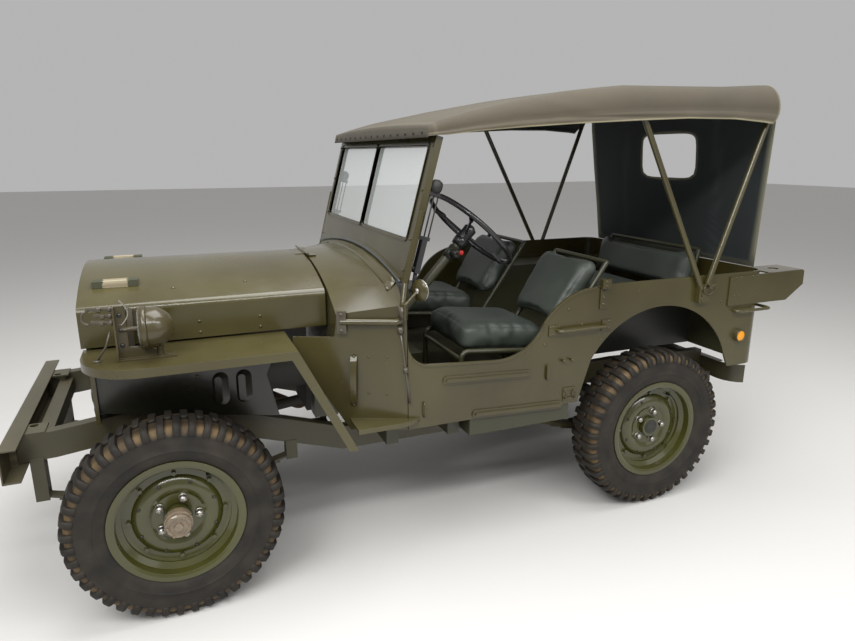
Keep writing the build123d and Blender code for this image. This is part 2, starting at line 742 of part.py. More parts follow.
with BuildPart() as floor:
    side_plate(
        -floor_half, 2 * floor_half,
        (firewall_y + sheet, 760), (760, front_floor_z), (riser_y, front_floor_z),
        (riser_y, rear_floor_z), (body_rear_y - panel, rear_floor_z),
        (body_rear_y - panel, rear_floor_z - sheet), (riser_y + sheet, rear_floor_z - sheet),
        (riser_y + sheet, front_floor_z - sheet), (757, front_floor_z - sheet), (firewall_y + sheet, 752),
    )
    fillet(floor.edges().filter_by(Axis.Z).group_by(Axis.Y)[-1], radius=rear_corner_radius - panel)
    for side in (1, -1):
        split(bisect_by=taper_plane(side, sheet + running_gap), keep=Keep.BOTTOM)
        block(
            (side * wheelhouse_x, riser_y + sheet, rear_floor_z - 20),
            (side * (floor_half + 1), wheelhouse_rear_y, rear_floor_z + 1), mode=Mode.SUBTRACT,
        )
        for y in (800, 1060, 1470):
            block((side * 240, y - 25, sill_low_z), (side * (floor_half - 60), y + 25, front_floor_z - sheet))
    block((-tunnel_half, firewall_y + sheet, front_floor_z - sheet), (tunnel_half, tunnel_end_y, 690))
    block(
        (sheet - tunnel_half, firewall_y + sheet, 540), (tunnel_half - sheet, tunnel_end_y - sheet, 684),
        mode=Mode.SUBTRACT,
    )
    block((400, 1105, tank_well_z), (floor_half, 1570, front_floor_z - sheet))
    straight_bar(24, tuple(column_foot), tuple(column_top), mode=Mode.SUBTRACT)
save(floor, "floor")

# Wheelhouses: boxes over the rear wheels, each with a lidded tool compartment behind it.
wheelhouse_front = ((1606.3, rear_floor_z), (1730, wheelhouse_top_z))
with BuildPart() as wheelhouses:
    for side in (1, -1):
        outer = side * floor_half
        lining = side * (wheelhouse_x + sheet)
        back_y = body_rear_y - panel
        (foot_y, foot_z), (brow_y, brow_z) = wheelhouse_front
        side_plate(
            min(side * wheelhouse_x, lining), sheet,
            (foot_y, foot_z), (back_y, foot_z), (back_y, brow_z - sheet), (wheelhouse_rear_y, brow_z - sheet),
            (wheelhouse_rear_y, brow_z), (brow_y, brow_z),
        )
        side_plate(
            min(lining, outer), abs(outer - lining),
            (foot_y, foot_z), (foot_y + 7, foot_z), (brow_y + 4, brow_z - sheet),
            (wheelhouse_rear_y - sheet, brow_z - sheet), (wheelhouse_rear_y - sheet, foot_z),
            (wheelhouse_rear_y, foot_z), (wheelhouse_rear_y, brow_z), (brow_y, brow_z),
        )
save(wheelhouses, "wheelhouses")

# Tool compartment lids, hinged at the front edge on the wheelhouse top.
lid_gap = 5
for side, name in ((1, "left_tool_lid"), (-1, "right_tool_lid")):
    with BuildPart() as lid:
        block(
            (side * (wheelhouse_x + 2), wheelhouse_rear_y + lid_gap, wheelhouse_top_z - sheet + running_gap),
            (side * (floor_half - lid_gap), body_rear_y - panel - lid_gap, wheelhouse_top_z + running_gap),
        )
        outer_corner = lid.edges().filter_by(Axis.Z).group_by(Axis.Y)[-1].sort_by(Axis.X)
        fillet(outer_corner[-1 if side == 1 else 0], radius=rear_corner_radius - panel)
        hinge_y = wheelhouse_rear_y + lid_gap + 2
        straight_bar(
            4, (side * (wheelhouse_x + 20), hinge_y, wheelhouse_top_z + 3),
            (side * (floor_half - 25), hinge_y, wheelhouse_top_z + 3),
        )
    save(lid, name)

# Cowl: tapered sides, firewall, and a crowned top that meets the hood and the windshield.


def taper_x(y):
    """Half width of the body at y, ahead of the doors."""
    return cowl_wing[0] + (y - cowl_wing[1]) * taper.X / taper.Y


cowl_front_half = taper_x(firewall_y)
step_z = 602
step_depth = 18
hinge_y = 598
hinge_z = 1170
hinge_radius = 4.5
knuckle_low = 71


def cowl_section(y, half, side_top_z, bend_x, bend_z, crest_z, inset, low_z):
    """Half-round topped cross-section of the cowl at y, drawn inset by a sheet's thickness."""
    half -= inset
    bend_x -= inset / 2
    with BuildSketch(Plane.XZ.offset(-y)) as section:
        with BuildLine():
            Line((-half, low_z), (half, low_z))
            Line((half, low_z), (half, side_top_z - inset))
            Line((half, side_top_z - inset), (bend_x, bend_z - inset))
            ThreePointArc((bend_x, bend_z - inset), (0, crest_z - inset), (-bend_x, bend_z - inset))
            Line((-bend_x, bend_z - inset), (-half, side_top_z - inset))
            Line((-half, side_top_z - inset), (-half, low_z))
        make_face()
    return section.sketch


with BuildPart() as cowl:
    front = (firewall_y, cowl_front_half, 1010, hood_half_width, hood_bend_z, hood_crest_z)
    rear = (windshield_foot[0], taper_x(windshield_foot[0]), 1046, 600, 1112, 1176)
    loft([cowl_section(*front, 0, 1000), cowl_section(*rear, 0, 1000)], ruled=True)
    loft([cowl_section(*front, sheet, 990), cowl_section(*rear, sheet, 990)], ruled=True, mode=Mode.SUBTRACT)
    front_wall = [
        (-cowl_front_half, 752), (cowl_front_half, 752), (cowl_front_half, 1010),
        (hood_half_width, hood_bend_z),
    ]
    with BuildSketch(Plane.XZ.offset(-firewall_y)) as wall:
        with BuildLine():
            Polyline(*front_wall)
            ThreePointArc(
                (hood_half_width, hood_bend_z), (0, hood_crest_z), (-hood_half_width, hood_bend_z)
            )
            Polyline((-hood_half_width, hood_bend_z), (-cowl_front_half, 1010), (-cowl_front_half, 752))
        make_face()
    extrude(wall.sketch, amount=-sheet)
    with BuildSketch(taper_plane(1, 0)) as wing:
        along = taper.length - 3
        with BuildLine():
            Polyline(
                (0, fender_top_z - 8), (155, fender_top_z - 8), (165, 1006), (along, 1046),
                (along, sill_z), (205, sill_z), (0, fender_top_z - 60), close=True,
            )
        make_face()
    extrude(wing.sketch, amount=-sheet)
    for inset, depth, mode in ((0, step_depth, Mode.ADD), (sheet, step_depth - sheet, Mode.SUBTRACT)):
        low_z = step_z - step_depth - (1 if inset else 0)
        edge_x = fender_outer_x - 14 - inset
        near_y = fender_foot[0] + 4
        far_y = door_front_y + 46 - inset
        side_x = body_half_width + running_gap - (1 if inset else 0)
        with BuildSketch(Plane.XY.offset(low_z)) as step:
            with BuildLine():
                Polyline((taper_x(near_y) - 1, near_y), (edge_x, near_y), (edge_x, door_front_y - 60))
                ThreePointArc((edge_x, door_front_y - 60), (edge_x - 10, door_front_y + 6), (side_x, far_y))
                Polyline(
                    (side_x, far_y), (side_x, door_front_y - 1),
                    (taper_x(door_front_y - 3) - 1, door_front_y - 3), (taper_x(near_y) - 1, near_y),
                )
            make_face()
        extrude(step.sketch, amount=depth + (1 if inset else 0), mode=mode)
    with BuildSketch(Plane.YZ.offset(knuckle_low)) as hinge_leaf:
        with BuildLine():
            Polyline(
                (hinge_y, hinge_z - 3), (hinge_y + 34, hinge_z - 5), (hinge_y + 34, hinge_z - 8),
                (hinge_y + 3, hinge_z - 8), close=True,
            )
        make_face()
    extrude(hinge_leaf.sketch, amount=60)
    straight_bar(hinge_radius, (knuckle_low, hinge_y, hinge_z), (knuckle_low + 60, hinge_y, hinge_z))
    split(bisect_by=Plane.YZ, keep=Keep.TOP)
    mirror(about=Plane.YZ)
save(cowl, "cowl")

# Front fenders: flat top with a rolled lip, sloping rear leg, and a louvred apron inside.
apron_scoops = (190, 275)
scoop_z = 725
with BuildPart() as front_fenders:
    corner = 190
    inner_x = grille_half_width + running_gap
    shelf_y = grille_y + grille_thickness + running_gap
    slope_y, slope_z = fender_foot
    for side in (1, -1):
        for inset, low_z, mode in ((0, fender_top_z - fender_lip, Mode.ADD), (sheet, 0, Mode.SUBTRACT)):
            edge_x = fender_outer_x - inset
            edge_y = fender_front_y + inset
            round_off = corner - inset
            diagonal = round_off * (1 - math.sqrt(0.5))
            start_x = inner_x - (1 if inset else 0)
            end_y = fender_break_y + (1 if inset else 0)
            with BuildSketch(Plane.XY.offset(low_z)) as outline:
                with BuildLine():
                    Polyline(
                        (side * edge_x, edge_y + round_off), (side * edge_x, end_y),
                        (side * start_x, end_y), (side * start_x, edge_y),
                        (side * (edge_x - round_off), edge_y),
                    )
                    ThreePointArc(
                        (side * (edge_x - round_off), edge_y),
                        (side * (edge_x - diagonal), edge_y + diagonal),
                        (side * edge_x, edge_y + round_off),
                    )
                make_face()
            extrude(outline.sketch, amount=fender_top_z - low_z - (sheet if inset else 0), mode=mode)
        low_x = side * fender_outer_x if side < 0 else inner_x + 75
        leg_width = fender_outer_x - inner_x - 75
        side_plate(
            low_x, leg_width,
            (fender_break_y, fender_top_z), (slope_y, slope_z), (slope_y - 12, slope_z),
            (fender_break_y - 6, 918), (fender_break_y - 6, fender_top_z),
        )
        lip_x = fender_outer_x - sheet if side > 0 else -fender_outer_x
        side_plate(
            lip_x, sheet,
            (fender_break_y, fender_top_z), (slope_y, slope_z), (slope_y - 34, slope_z),
            (fender_break_y - 22, fender_top_z - fender_lip), (fender_break_y - 22, fender_top_z),
        )
        apron_low = apron_x - sheet if side > 0 else -apron_x
        side_plate(
            apron_low, sheet,
            (shelf_y, fender_top_z - sheet), (shelf_y, 690),
            (400, 585), (360, 760), (430, fender_top_z - sheet),
        )
        for scoop_y in apron_scoops:
            apron_face = Plane((side * apron_x, scoop_y, scoop_z), x_dir=(0, 1, 0), z_dir=(side, 0, 0))
            with BuildSketch(apron_face.offset(-1)) as scoop_foot:
                SlotOverall(134, 60, rotation=90)
            with BuildSketch(apron_face.offset(13)) as scoop_crest:
                with Locations((-10, 0)):
                    SlotOverall(104, 26, rotation=90)
            loft([scoop_foot.sketch, scoop_crest.sketch])
        block(
            (side * (apron_x - sheet), shelf_y, fender_top_z - 2 * sheet),
            (side * (inner_x + 10), fender_break_y, fender_top_z - sheet),
        )
        with BuildSketch(Plane.XY.offset(slope_z - 1)) as behind_leg:
            with BuildLine():
                Polyline(
                    (side * (cowl_wing[0] + 0.4), cowl_wing[1]),
                    (side * (cowl_wing[0] + 0.4 + taper.X / 2), cowl_wing[1] + taper.Y / 2),
                    (side * inner_x, cowl_wing[1] + taper.Y / 2), (side * inner_x, cowl_wing[1]), close=True,
                )
            make_face()
        extrude(behind_leg.sketch, amount=fender_top_z - slope_z, mode=Mode.SUBTRACT)
save(front_fenders, "front_fenders")


def hood_section(half, edge_z, bend_z, crest_z, y):
    """Closed outline of the hood's outside at y: upright sides under a crowned top."""
    with BuildSketch(Plane.XZ.offset(-y)) as section:
        with BuildLine():
            Line((-half, edge_z), (half, edge_z))
            Line((half, edge_z), (half, bend_z - 22))
            ThreePointArc((half, bend_z - 22), (half - 7, bend_z - 6), (half - 24, bend_z + 4))
            ThreePointArc((half - 24, bend_z + 4), (0, crest_z), (24 - half, bend_z + 4))
            ThreePointArc((24 - half, bend_z + 4), (7 - half, bend_z - 6), (-half, bend_z - 22))
            Line((-half, bend_z - 22), (-half, edge_z))
        make_face()
    return section.sketch


# Hood: one sheet with upright sides, crowned along its length, hinged across its rear edge.
with BuildPart() as hood:
    outside = hood_section(hood_half_width, hood_edge_z, hood_bend_z, hood_crest_z, hood_front_y)
    extrude(outside, amount=-(hood_rear_y - hood_front_y))
    inside = hood_section(
        hood_half_width - sheet, hood_edge_z - sheet, hood_bend_z - sheet, hood_crest_z - sheet,
        hood_front_y - 1,
    )
    extrude(inside, amount=-(hood_rear_y - hood_front_y + 2), mode=Mode.SUBTRACT)
    side_plate(
        1 - knuckle_low, 2 * (knuckle_low - 1),
        (hinge_y, hinge_z - 3), (hood_rear_y - 36, hinge_z - 5), (hood_rear_y - 36, hinge_z - 8),
        (hood_rear_y, hinge_z - 8), (hood_rear_y + 3, hinge_z - 4.4),
    )
    straight_bar(hinge_radius, (1 - knuckle_low, hinge_y, hinge_z), (knuckle_low - 1, hinge_y, hinge_z))
save(hood, "hood")

# Wooden blocks on the hood that the folded windshield rests on.
with BuildPart() as hood_blocks:
    for side in (1, -1):
        block((side * 295 - 26, -206, hood_crest_z - 60), (side * 295 + 26, -56, hood_crest_z - 22))
    raised = (hood_bend_z + running_gap, hood_crest_z + running_gap)
    under = hood_section(hood_half_width, hood_edge_z, *raised, hood_front_y)
    extrude(under, amount=-(hood_rear_y - hood_front_y), mode=Mode.SUBTRACT)
save(hood_blocks, "hood_blocks")

# Grille: one pressed plate with nine upright slots and a round opening for each headlight.
slot_count = 9
slot_pitch = 51
slot_width = 32
headlight_x = 320
headlight_z = 880
headlight_radius = 84
marker_z = 735
grille_low_z = 656
with BuildPart() as grille:
    with BuildSketch(Plane.XZ.offset(-grille_y)):
        with BuildLine():
            half = grille_half_width
            bend_z = hood_bend_z - 36
            Line((-half, grille_low_z), (half, grille_low_z))
            Line((half, grille_low_z), (half, bend_z))
            ThreePointArc((half, bend_z), (half - 7, bend_z + 18), (half - 24, bend_z + 28))
            ThreePointArc((half - 24, bend_z + 28), (0, hood_crest_z - sheet - 5), (24 - half, bend_z + 28))
            ThreePointArc((24 - half, bend_z + 28), (7 - half, bend_z + 18), (-half, bend_z))
            Line((-half, bend_z), (-half, grille_low_z))
        make_face()
        with Locations((0, 850)):
            with GridLocations(slot_pitch, 0, slot_count, 1):
                SlotOverall(300, slot_width, rotation=90, mode=Mode.SUBTRACT)
        with Locations((headlight_x, headlight_z), (-headlight_x, headlight_z)):
            Circle(headlight_radius, mode=Mode.SUBTRACT)
        with Locations((headlight_x, marker_z), (-headlight_x, marker_z)):
            Circle(36, mode=Mode.SUBTRACT)
    extrude(amount=-grille_thickness)
save(grille, "grille")

# Lamps: headlights behind the grille, and the hooded driving lamp on the left fender.
fender_lamp = (600, -8, 1032)
with BuildPart() as lamps:
    for side in (1, -1):
        lens_centre = (side * headlight_x, grille_y + 6, headlight_z)
        rim = headlight_radius
        seat = grille_thickness - 6 + running_gap
        with BuildSketch(Plane(lens_centre, x_dir=(1, 0, 0), z_dir=(0, 0, 1))) as bowl:
            with BuildLine():
                Polyline((0, 0), (rim - 4, 4), (rim - 4, seat), (rim + 4, seat), (rim + 4, seat + 6))
                Line((rim + 4, seat + 6), (rim - 4, 30))
                ThreePointArc((rim - 4, 30), (rim - 22, 78), (20, 104))
                Polyline((20, 104), (0, 104), (0, 0))
            make_face()
        revolve(bowl.sketch, axis=Axis((side * headlight_x, 0, headlight_z), (0, 1, 0)))
        for radius, start, run in (
            (35.7, (side * headlight_x, grille_y - 8, marker_z), (0, 46, 0)),
            (40, (side * 568, body_rear_y + running_gap, 700), (0, 28, 0)),
            (30, (side * (body_half_width + running_gap), 2488, 758), (side * 15, 0, 0)),
        ):
            straight_bar(radius, start, tuple(Vector(*start) + Vector(*run)))
    with BuildSketch(Plane(fender_lamp, x_dir=(1, 0, 0), z_dir=(0, 0, 1))) as shell:
        with BuildLine():
            Polyline((0, -46), (66, -46), (70, -38), (66, -28))
            ThreePointArc((66, -28), (52, 32), (14, 58))
            Polyline((14, 58), (0, 58), (0, -46))
        make_face()
    revolve(shell.sketch, axis=Axis((fender_lamp[0], 0, fender_lamp[2]), (0, 1, 0)))
    lamp_x, lamp_y, lamp_z = fender_lamp
    foot_z = fender_top_z + running_gap
    straight_bar(11, (lamp_x, lamp_y + 8, foot_z), (lamp_x, lamp_y + 8, lamp_z - 60))
    block((lamp_x - 22, lamp_y - 120, foot_z), (lamp_x + 22, lamp_y + 58, foot_z + 5))
    side_plate(
        lamp_x - 3, 6,
        (lamp_y - 120, foot_z), (lamp_y - 120, lamp_z + 78), (lamp_y - 84, lamp_z + 78),
        (lamp_y - 84, foot_z + 40), (lamp_y - 20, foot_z + 30), (lamp_y + 40, foot_z + 4),
    )
    block((lamp_x - 3, lamp_y - 120, foot_z), (lamp_x + 26, lamp_y - 115, lamp_z + 78))
    straight_bar(8, (lamp_x, lamp_y - 100, lamp_z), (lamp_x, lamp_y - 44, lamp_z))
save(lamps, "lamps")

# Dashboard: upright pressed panel across the cowl, turned back along its lower edge.
dash_y = 800
with BuildPart() as dashboard:
    along = (dash_y - firewall_y) / (windshield_foot[0] - firewall_y)
    outline = [near + (far - near) * along for near, far in zip(front[1:], rear[1:])]
    extrude(cowl_section(dash_y, *outline, sheet + running_gap, 940), amount=-sheet)
    block((-640, dash_y - 22, 940), (640, dash_y, 946))
    bracket_x = steering_wheel_centre[0]
    block((bracket_x - 34, dash_y - 6, 745), (bracket_x + 34, dash_y, 945))
    straight_bar(22, tuple(column_foot), tuple(column_top), mode=Mode.SUBTRACT)
    for side in (1, -1):
        split(bisect_by=taper_plane(side, sheet + running_gap), keep=Keep.BOTTOM)
save(dashboard, "dashboard")

# Steering column with the steering box on the left frame rail.
with BuildPart() as steering_column:
    straight_bar(20, tuple(column_top), tuple(column_foot))
    block((pitman_x + 30, pitman_y - 50, 530), (steering_wheel_centre[0] + 22, pitman_y + 46, 622))
    straight_bar(14, (pitman_x + 24.3, pitman_y, pivot_z), (pitman_x + 40, pitman_y, pivot_z))
save(steering_column, "steering_column")

# Steering wheel: round rim on three spokes.
with BuildPart() as steering_wheel:
    wheel_plane = Plane(steering_wheel_centre, x_dir=(1, 0, 0), z_dir=tuple(column_run * -1))
    with BuildSketch(Plane(steering_wheel_centre, x_dir=(1, 0, 0), z_dir=wheel_plane.y_dir)) as rim:
        with Locations((wheel_rim_radius, 0)):
            Circle(11)
    revolve(rim.sketch, axis=Axis(steering_wheel_centre, tuple(column_run)))
    for turn in (90, 210, 330):
        reach = math.radians(turn)
        rim_point = wheel_plane.from_local_coords(
            (wheel_rim_radius * math.cos(reach), wheel_rim_radius * math.sin(reach), 0)
        )
        hub_point = wheel_plane.from_local_coords((12 * math.cos(reach), 12 * math.sin(reach), -30))
        straight_bar(6, tuple(hub_point), tuple(rim_point))
    straight_bar(28, tuple(wheel_centre + column_run * 59.5), tuple(wheel_centre + column_run * 8))
save(steering_wheel, "steering_wheel")

# Levers and pedals: gear and transfer levers on the tunnel, handbrake, three pedals.
with BuildPart() as control_levers:
    for x, y, lean, height in ((20, 900, 60, 330), (-60, 980, 30, 250), (-110, 980, 30, 250)):
        top = (x, y + lean, 690 + height)
        straight_bar(8, (x, y, 691.5), top)
        with Locations(top):
            Sphere(17)
    for x in (240, 440):
        bent_tube(8, 20, (x, 700, 649.5), (x, 730, 740), (x, 760, 740))
        block((x - 36, 760, 705), (x + 36, 768, 775))
    block((505, 742, 590), (545, 750, 700))
save(control_levers, "control_levers")

# Windshield: flat frame with two panes over a solid lower panel, on pivot arms down to the cowl.
lean = math.radians(windshield_lean)
screen_plane = Plane(
    (0, *windshield_foot), x_dir=(1, 0, 0), z_dir=(0, -math.cos(lean), math.sin(lean))
)
pane_width = 580
pane_top = windshield_height - 34
with BuildPart() as windshield_frame:
    with BuildSketch(screen_plane):
        with BuildLine():
            Polyline(
                (windshield_half_width, 0), (windshield_half_width, windshield_height),
                (-windshield_half_width, windshield_height), (-windshield_half_width, 0),
            )
            ThreePointArc((-windshield_half_width, 0), (0, 66), (windshield_half_width, 0))
        make_face()
        for side in (1, -1):
            with Locations((side * (pane_width / 2 + 11), (glass_sill + pane_top) / 2)):
                RectangleRounded(pane_width, pane_top - glass_sill, 14, mode=Mode.SUBTRACT)
    extrude(amount=-windshield_thickness)
    for side in (1, -1):
        arm_x = side * (windshield_half_width + 10)
        bent_tube(
            12, 30,
            (side * 588.6, 612, 984), (side * 679.2, 822, 984), (side * 679.2, 822, 1050),
            (arm_x, windshield_foot[0] + 12, windshield_foot[1]), (arm_x, windshield_foot[0] + 77, 1380),
        )
save(windshield_frame, "windshield_frame")

with BuildPart() as windshield_glass:
    with BuildSketch(screen_plane.offset(-10)):
        for side in (1, -1):
            with Locations((side * (pane_width / 2 + 11), (glass_sill + pane_top) / 2)):
                RectangleRounded(pane_width - 1, pane_top - glass_sill - 1, 13)
    extrude(amount=-5)
save(windshield_glass, "windshield_glass")

# Round mirror on a stem clamped to the left windshield arm, its glass turned to the driver.
mirror_centre = (684, 882, 1098)
mirror_radius = 40
mirror_look = Vector(-0.42, 0.907, 0)
with BuildPart() as side_mirror:
    straight_bar(6, (697.6, 822, 996), (697.6, 822, 1056))
    straight_bar(6, (697.6, 822, 1050), tuple(Vector(*mirror_centre) - mirror_look * 7))
    across = Vector(0, 0, 1).cross(mirror_look)
    with BuildSketch(Plane(mirror_centre, x_dir=(0, 0, 1), z_dir=tuple(across))) as half_dish:
        with BuildLine():
            Polyline((0, 8), (mirror_radius - 2, 8), (mirror_radius, 5), (mirror_radius - 2, 0))
            ThreePointArc((mirror_radius - 2, 0), (mirror_radius * 0.55, -8), (4, -11))
            Polyline((4, -11), (0, -11), (0, 8))
        make_face()
    revolve(half_dish.sketch, axis=Axis(mirror_centre, tuple(mirror_look)))
save(side_mirror, "side_mirror")

# Seat cushions and backs: front pair and rear bench, each a plain closed pad.
# Columns: x of the middle, width, then (y, z) of the cushion's four side corners.
pads = (
    (seat_x, seat_width, ((1100, 812), (1545, 770), (1545, 850), (1110, 896))),
    (-seat_x, seat_width, ((1100, 812), (1545, 770), (1545, 850), (1110, 896))),
    (seat_x, seat_width, ((1552, 846), (1610, 850), (1800, 1130), (1752, 1156))),
    (-seat_x, seat_width, ((1552, 846), (1610, 850), (1800, 1130), (1752, 1156))),
    (0, 760, ((2030, 862), (2400, 830), (2400, 900), (2030, 940))),
    (0, 760, ((2410, 890), (2462, 890), (2520, 1120), (2474, 1130))),
)
with BuildPart() as seat_cushions:
    for x, width, corners in pads:
        side_plate(x - width / 2, width, *corners)
save(seat_cushions, "seat_cushions")

# Seat frames: bent tube loops under each cushion and round each back, on four legs.
with BuildPart() as seat_frames:
    for x in (seat_x, -seat_x):
        for end in (1, -1):
            rail = x + end * (seat_width / 2 - 14)
            bent_tube(
                11, 30,
                (rail, 1120, front_floor_z + running_gap), (rail, 1120, 798.9), (rail, 1560.4, 757.5),
                (rail, 1810.5, 1123.5),
            )
            straight_bar(10, (rail, 1540, front_floor_z + running_gap), (rail, 1540, 756))
        low, high = x - seat_width / 2 + 14, x + seat_width / 2 - 14
        straight_bar(10, (low, 1120, 765), (high, 1120, 765))
        straight_bar(10, (low, 1810.5, 1123.5), (high, 1810.5, 1123.5))
    for x in (-340, 340):
        bent_tube(
            11, 30,
            (x, 2060, rear_floor_z + running_gap), (x, 2060, 847), (x, 2454, 813.6), (x, 2532.2, 1112),
        )
        straight_bar(10, (x, 2400, rear_floor_z + running_gap), (x, 2400, 816))
    straight_bar(10, (-340, 2532.2, 1112), (340, 2532.2, 1112))
save(seat_frames, "seat_frames")

# Bows: two tube hoops from one bracket on each side of the body.
# Columns: y and z where the hoop turns over, half width at the top.
hoops = ((1778, 1822.5, 682), (2546, 1854.5, 682))
foot_x = body_half_width + 16
with BuildPart() as top_bows:
    for top_y, top_z, half in hoops:
        shift = -12 if top_y < bow_foot[0] else 12
        bent_tube(
            bow_tube_radius, 125,
            (foot_x, bow_foot[0] + shift, bow_foot[1] - 60), (half, top_y, top_z), (-half, top_y, top_z),
            (-foot_x, bow_foot[0] + shift, bow_foot[1] - 60),
        )
    for side in (1, -1):
        block(
            (side * (body_half_width + 0.3), bow_foot[0] - 30, bow_foot[1] - 120),
            (side * (body_half_width + 26), bow_foot[0] + 30, bow_foot[1] - 40),
        )
save(top_bows, "top_bows")

# Canvas top: one sheet over both bows with a short valance, and a rear curtain with a window.
canvas_thickness = 5
# Columns: y, z of the lower edge at the sides, z of the top at the shoulder, half width at the edge.
canvas_ribs = (
    (950, 1640, 1682, 668),
    (1778, 1702, 1842, 716),
    (2566, 1702, 1872, 722),
)


def canvas_section(y, low_z, top_z, half, inset):
    """Cross-section of the canvas at y, drawn inset by the cloth's thickness."""
    with BuildSketch(Plane.XZ.offset(-y)) as section:
        with BuildLine():
            shoulder = half - 10 - inset
            drop = (top_z - low_z) * 0.75
            top_z -= inset
            Line((-half + inset, low_z), (half - inset, low_z))
            Line((half - inset, low_z), (shoulder, top_z - drop))
            knee_x, knee_z = shoulder - drop * 0.35, top_z - drop * 0.3
            ThreePointArc((shoulder, top_z - drop), (knee_x, knee_z), (shoulder - drop, top_z))
            ThreePointArc((shoulder - drop, top_z), (0, top_z + 14), (drop - shoulder, top_z))
            ThreePointArc((drop - shoulder, top_z), (-knee_x, knee_z), (-shoulder, top_z - drop))
            Line((-shoulder, top_z - drop), (-half + inset, low_z))
        make_face()
    return section.sketch


with BuildPart() as canvas_top:
    loft([canvas_section(*rib, 0) for rib in canvas_ribs], ruled=True)
    front, middle, back = canvas_ribs
    hollow = [(front[0] - 2, *front[1:]), middle, (back[0] + 2, *back[1:])]
    loft(
        [canvas_section(y, low_z - 1, top_z, half, canvas_thickness) for y, low_z, top_z, half in hollow],
        ruled=True, mode=Mode.SUBTRACT,
    )
    curtain_plane = Plane((0, 2560, 1870), x_dir=(1, 0, 0), z_dir=(0, -815, -67))
    with BuildSketch(curtain_plane) as curtain:
        with BuildLine():
            Polyline((-664, -38), (-664, -150), (-597, -816), (597, -816), (664, -150), (664, -38))
            ThreePointArc((664, -38), (628, -12), (584, 0))
            ThreePointArc((584, 0), (0, 13), (-584, 0))
            ThreePointArc((-584, 0), (-628, -12), (-664, -38))
        make_face()
        with Locations((0, -305)):
            RectangleRounded(400, 225, 40, mode=Mode.SUBTRACT)
    extrude(curtain.sketch, amount=-canvas_thickness)
save(canvas_top, "canvas_top")

# Antenna bracket: folded steel box on the rear left corner with a flat perforated shelf.
with BuildPart() as antenna_bracket:
    low_x = body_half_width + running_gap
    side_plate(
        low_x, sheet,
        (2395, 905), (2395, 1040), (2700, 1044), (bracket_tip_y - 2, 1040), (bracket_tip_y, 975),
        (2760, 905), (2700, 905),
    )
    with BuildSketch(Plane.XY.offset(1038)):
        with BuildLine():
            Polyline(
                (low_x, 2640), (low_x, bracket_tip_y - 2), (low_x - 150, bracket_tip_y - 2),
                (low_x - 150, 2640), close=True,
            )
        make_face()
        with Locations((low_x - 75, 2750)):
            Circle(24, mode=Mode.SUBTRACT)
    extrude(amount=sheet)
save(antenna_bracket, "antenna_bracket")
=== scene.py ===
import bpy
import bmesh
import math
from mathutils import Matrix, Vector, noise


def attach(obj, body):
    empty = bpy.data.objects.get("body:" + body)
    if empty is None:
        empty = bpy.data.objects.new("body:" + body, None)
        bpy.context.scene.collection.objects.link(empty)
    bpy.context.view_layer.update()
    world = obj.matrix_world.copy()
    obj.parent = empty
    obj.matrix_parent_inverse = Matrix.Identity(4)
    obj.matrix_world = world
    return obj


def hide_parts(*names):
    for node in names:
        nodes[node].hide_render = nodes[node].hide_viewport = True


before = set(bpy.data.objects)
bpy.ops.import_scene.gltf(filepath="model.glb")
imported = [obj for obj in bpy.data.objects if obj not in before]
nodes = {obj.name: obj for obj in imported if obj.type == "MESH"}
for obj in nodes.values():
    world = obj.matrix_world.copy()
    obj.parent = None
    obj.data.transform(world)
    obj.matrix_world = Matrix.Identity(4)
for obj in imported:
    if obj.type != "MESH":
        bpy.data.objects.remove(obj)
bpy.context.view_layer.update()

# Chassis: pressed rails, bumpers, springs and axles, brushed with flat olive paint.
# It is the part of the car that road dust reaches first, so the paint is dull and patchy.


def new_finish(name):
    """An empty finish, with its node tree, its shader and the piece's own coordinates."""
    finish = bpy.data.materials.new(name)
    finish.use_nodes = True
    tree = finish.node_tree
    place = tree.nodes.new("ShaderNodeTexCoord")
    return finish, tree, tree.nodes["Principled BSDF"], place.outputs["Object"]


def mottle(tree, place, scale, detail=5):
    """Cloudy patches over the surface, from 0 to 1."""
    patches = tree.nodes.new("ShaderNodeTexNoise")
    patches.inputs["Scale"].default_value = scale
    patches.inputs["Detail"].default_value = detail
    tree.links.new(place, patches.inputs["Vector"])
    return patches.outputs["Fac"]


def ramp(tree, amount, low, high, start=0.0, end=1.0):
    """A number that goes from low to high while the amount goes from start to end."""
    scale = tree.nodes.new("ShaderNodeMapRange")
    for socket, value in (("From Min", start), ("From Max", end), ("To Min", low), ("To Max", high)):
        scale.inputs[socket].default_value = value
    tree.links.new(amount, scale.inputs["Value"])
    return scale.outputs["Result"]


def tint(tree, amount, below, above):
    """Colour below where the amount is 0, above where it is 1; either may be a socket."""
    mix = tree.nodes.new("ShaderNodeMix")
    mix.data_type = "RGBA"
    tree.links.new(amount, mix.inputs["Factor"])
    for socket, colour in (("A", below), ("B", above)):
        if isinstance(colour, tuple):
            mix.inputs[socket].default_value = (*colour, 1)
        else:
            tree.links.new(colour, mix.inputs[socket])
    return mix.outputs["Result"]


def calculate(tree, operation, first, second):
    """One sum on numbers or sockets."""
    step = tree.nodes.new("ShaderNodeMath")
    step.operation = operation
    for socket, value in zip(step.inputs, (first, second)):
        if isinstance(value, (int, float)):
            socket.default_value = value
        else:
            tree.links.new(value, socket)
    return step.outputs["Value"]


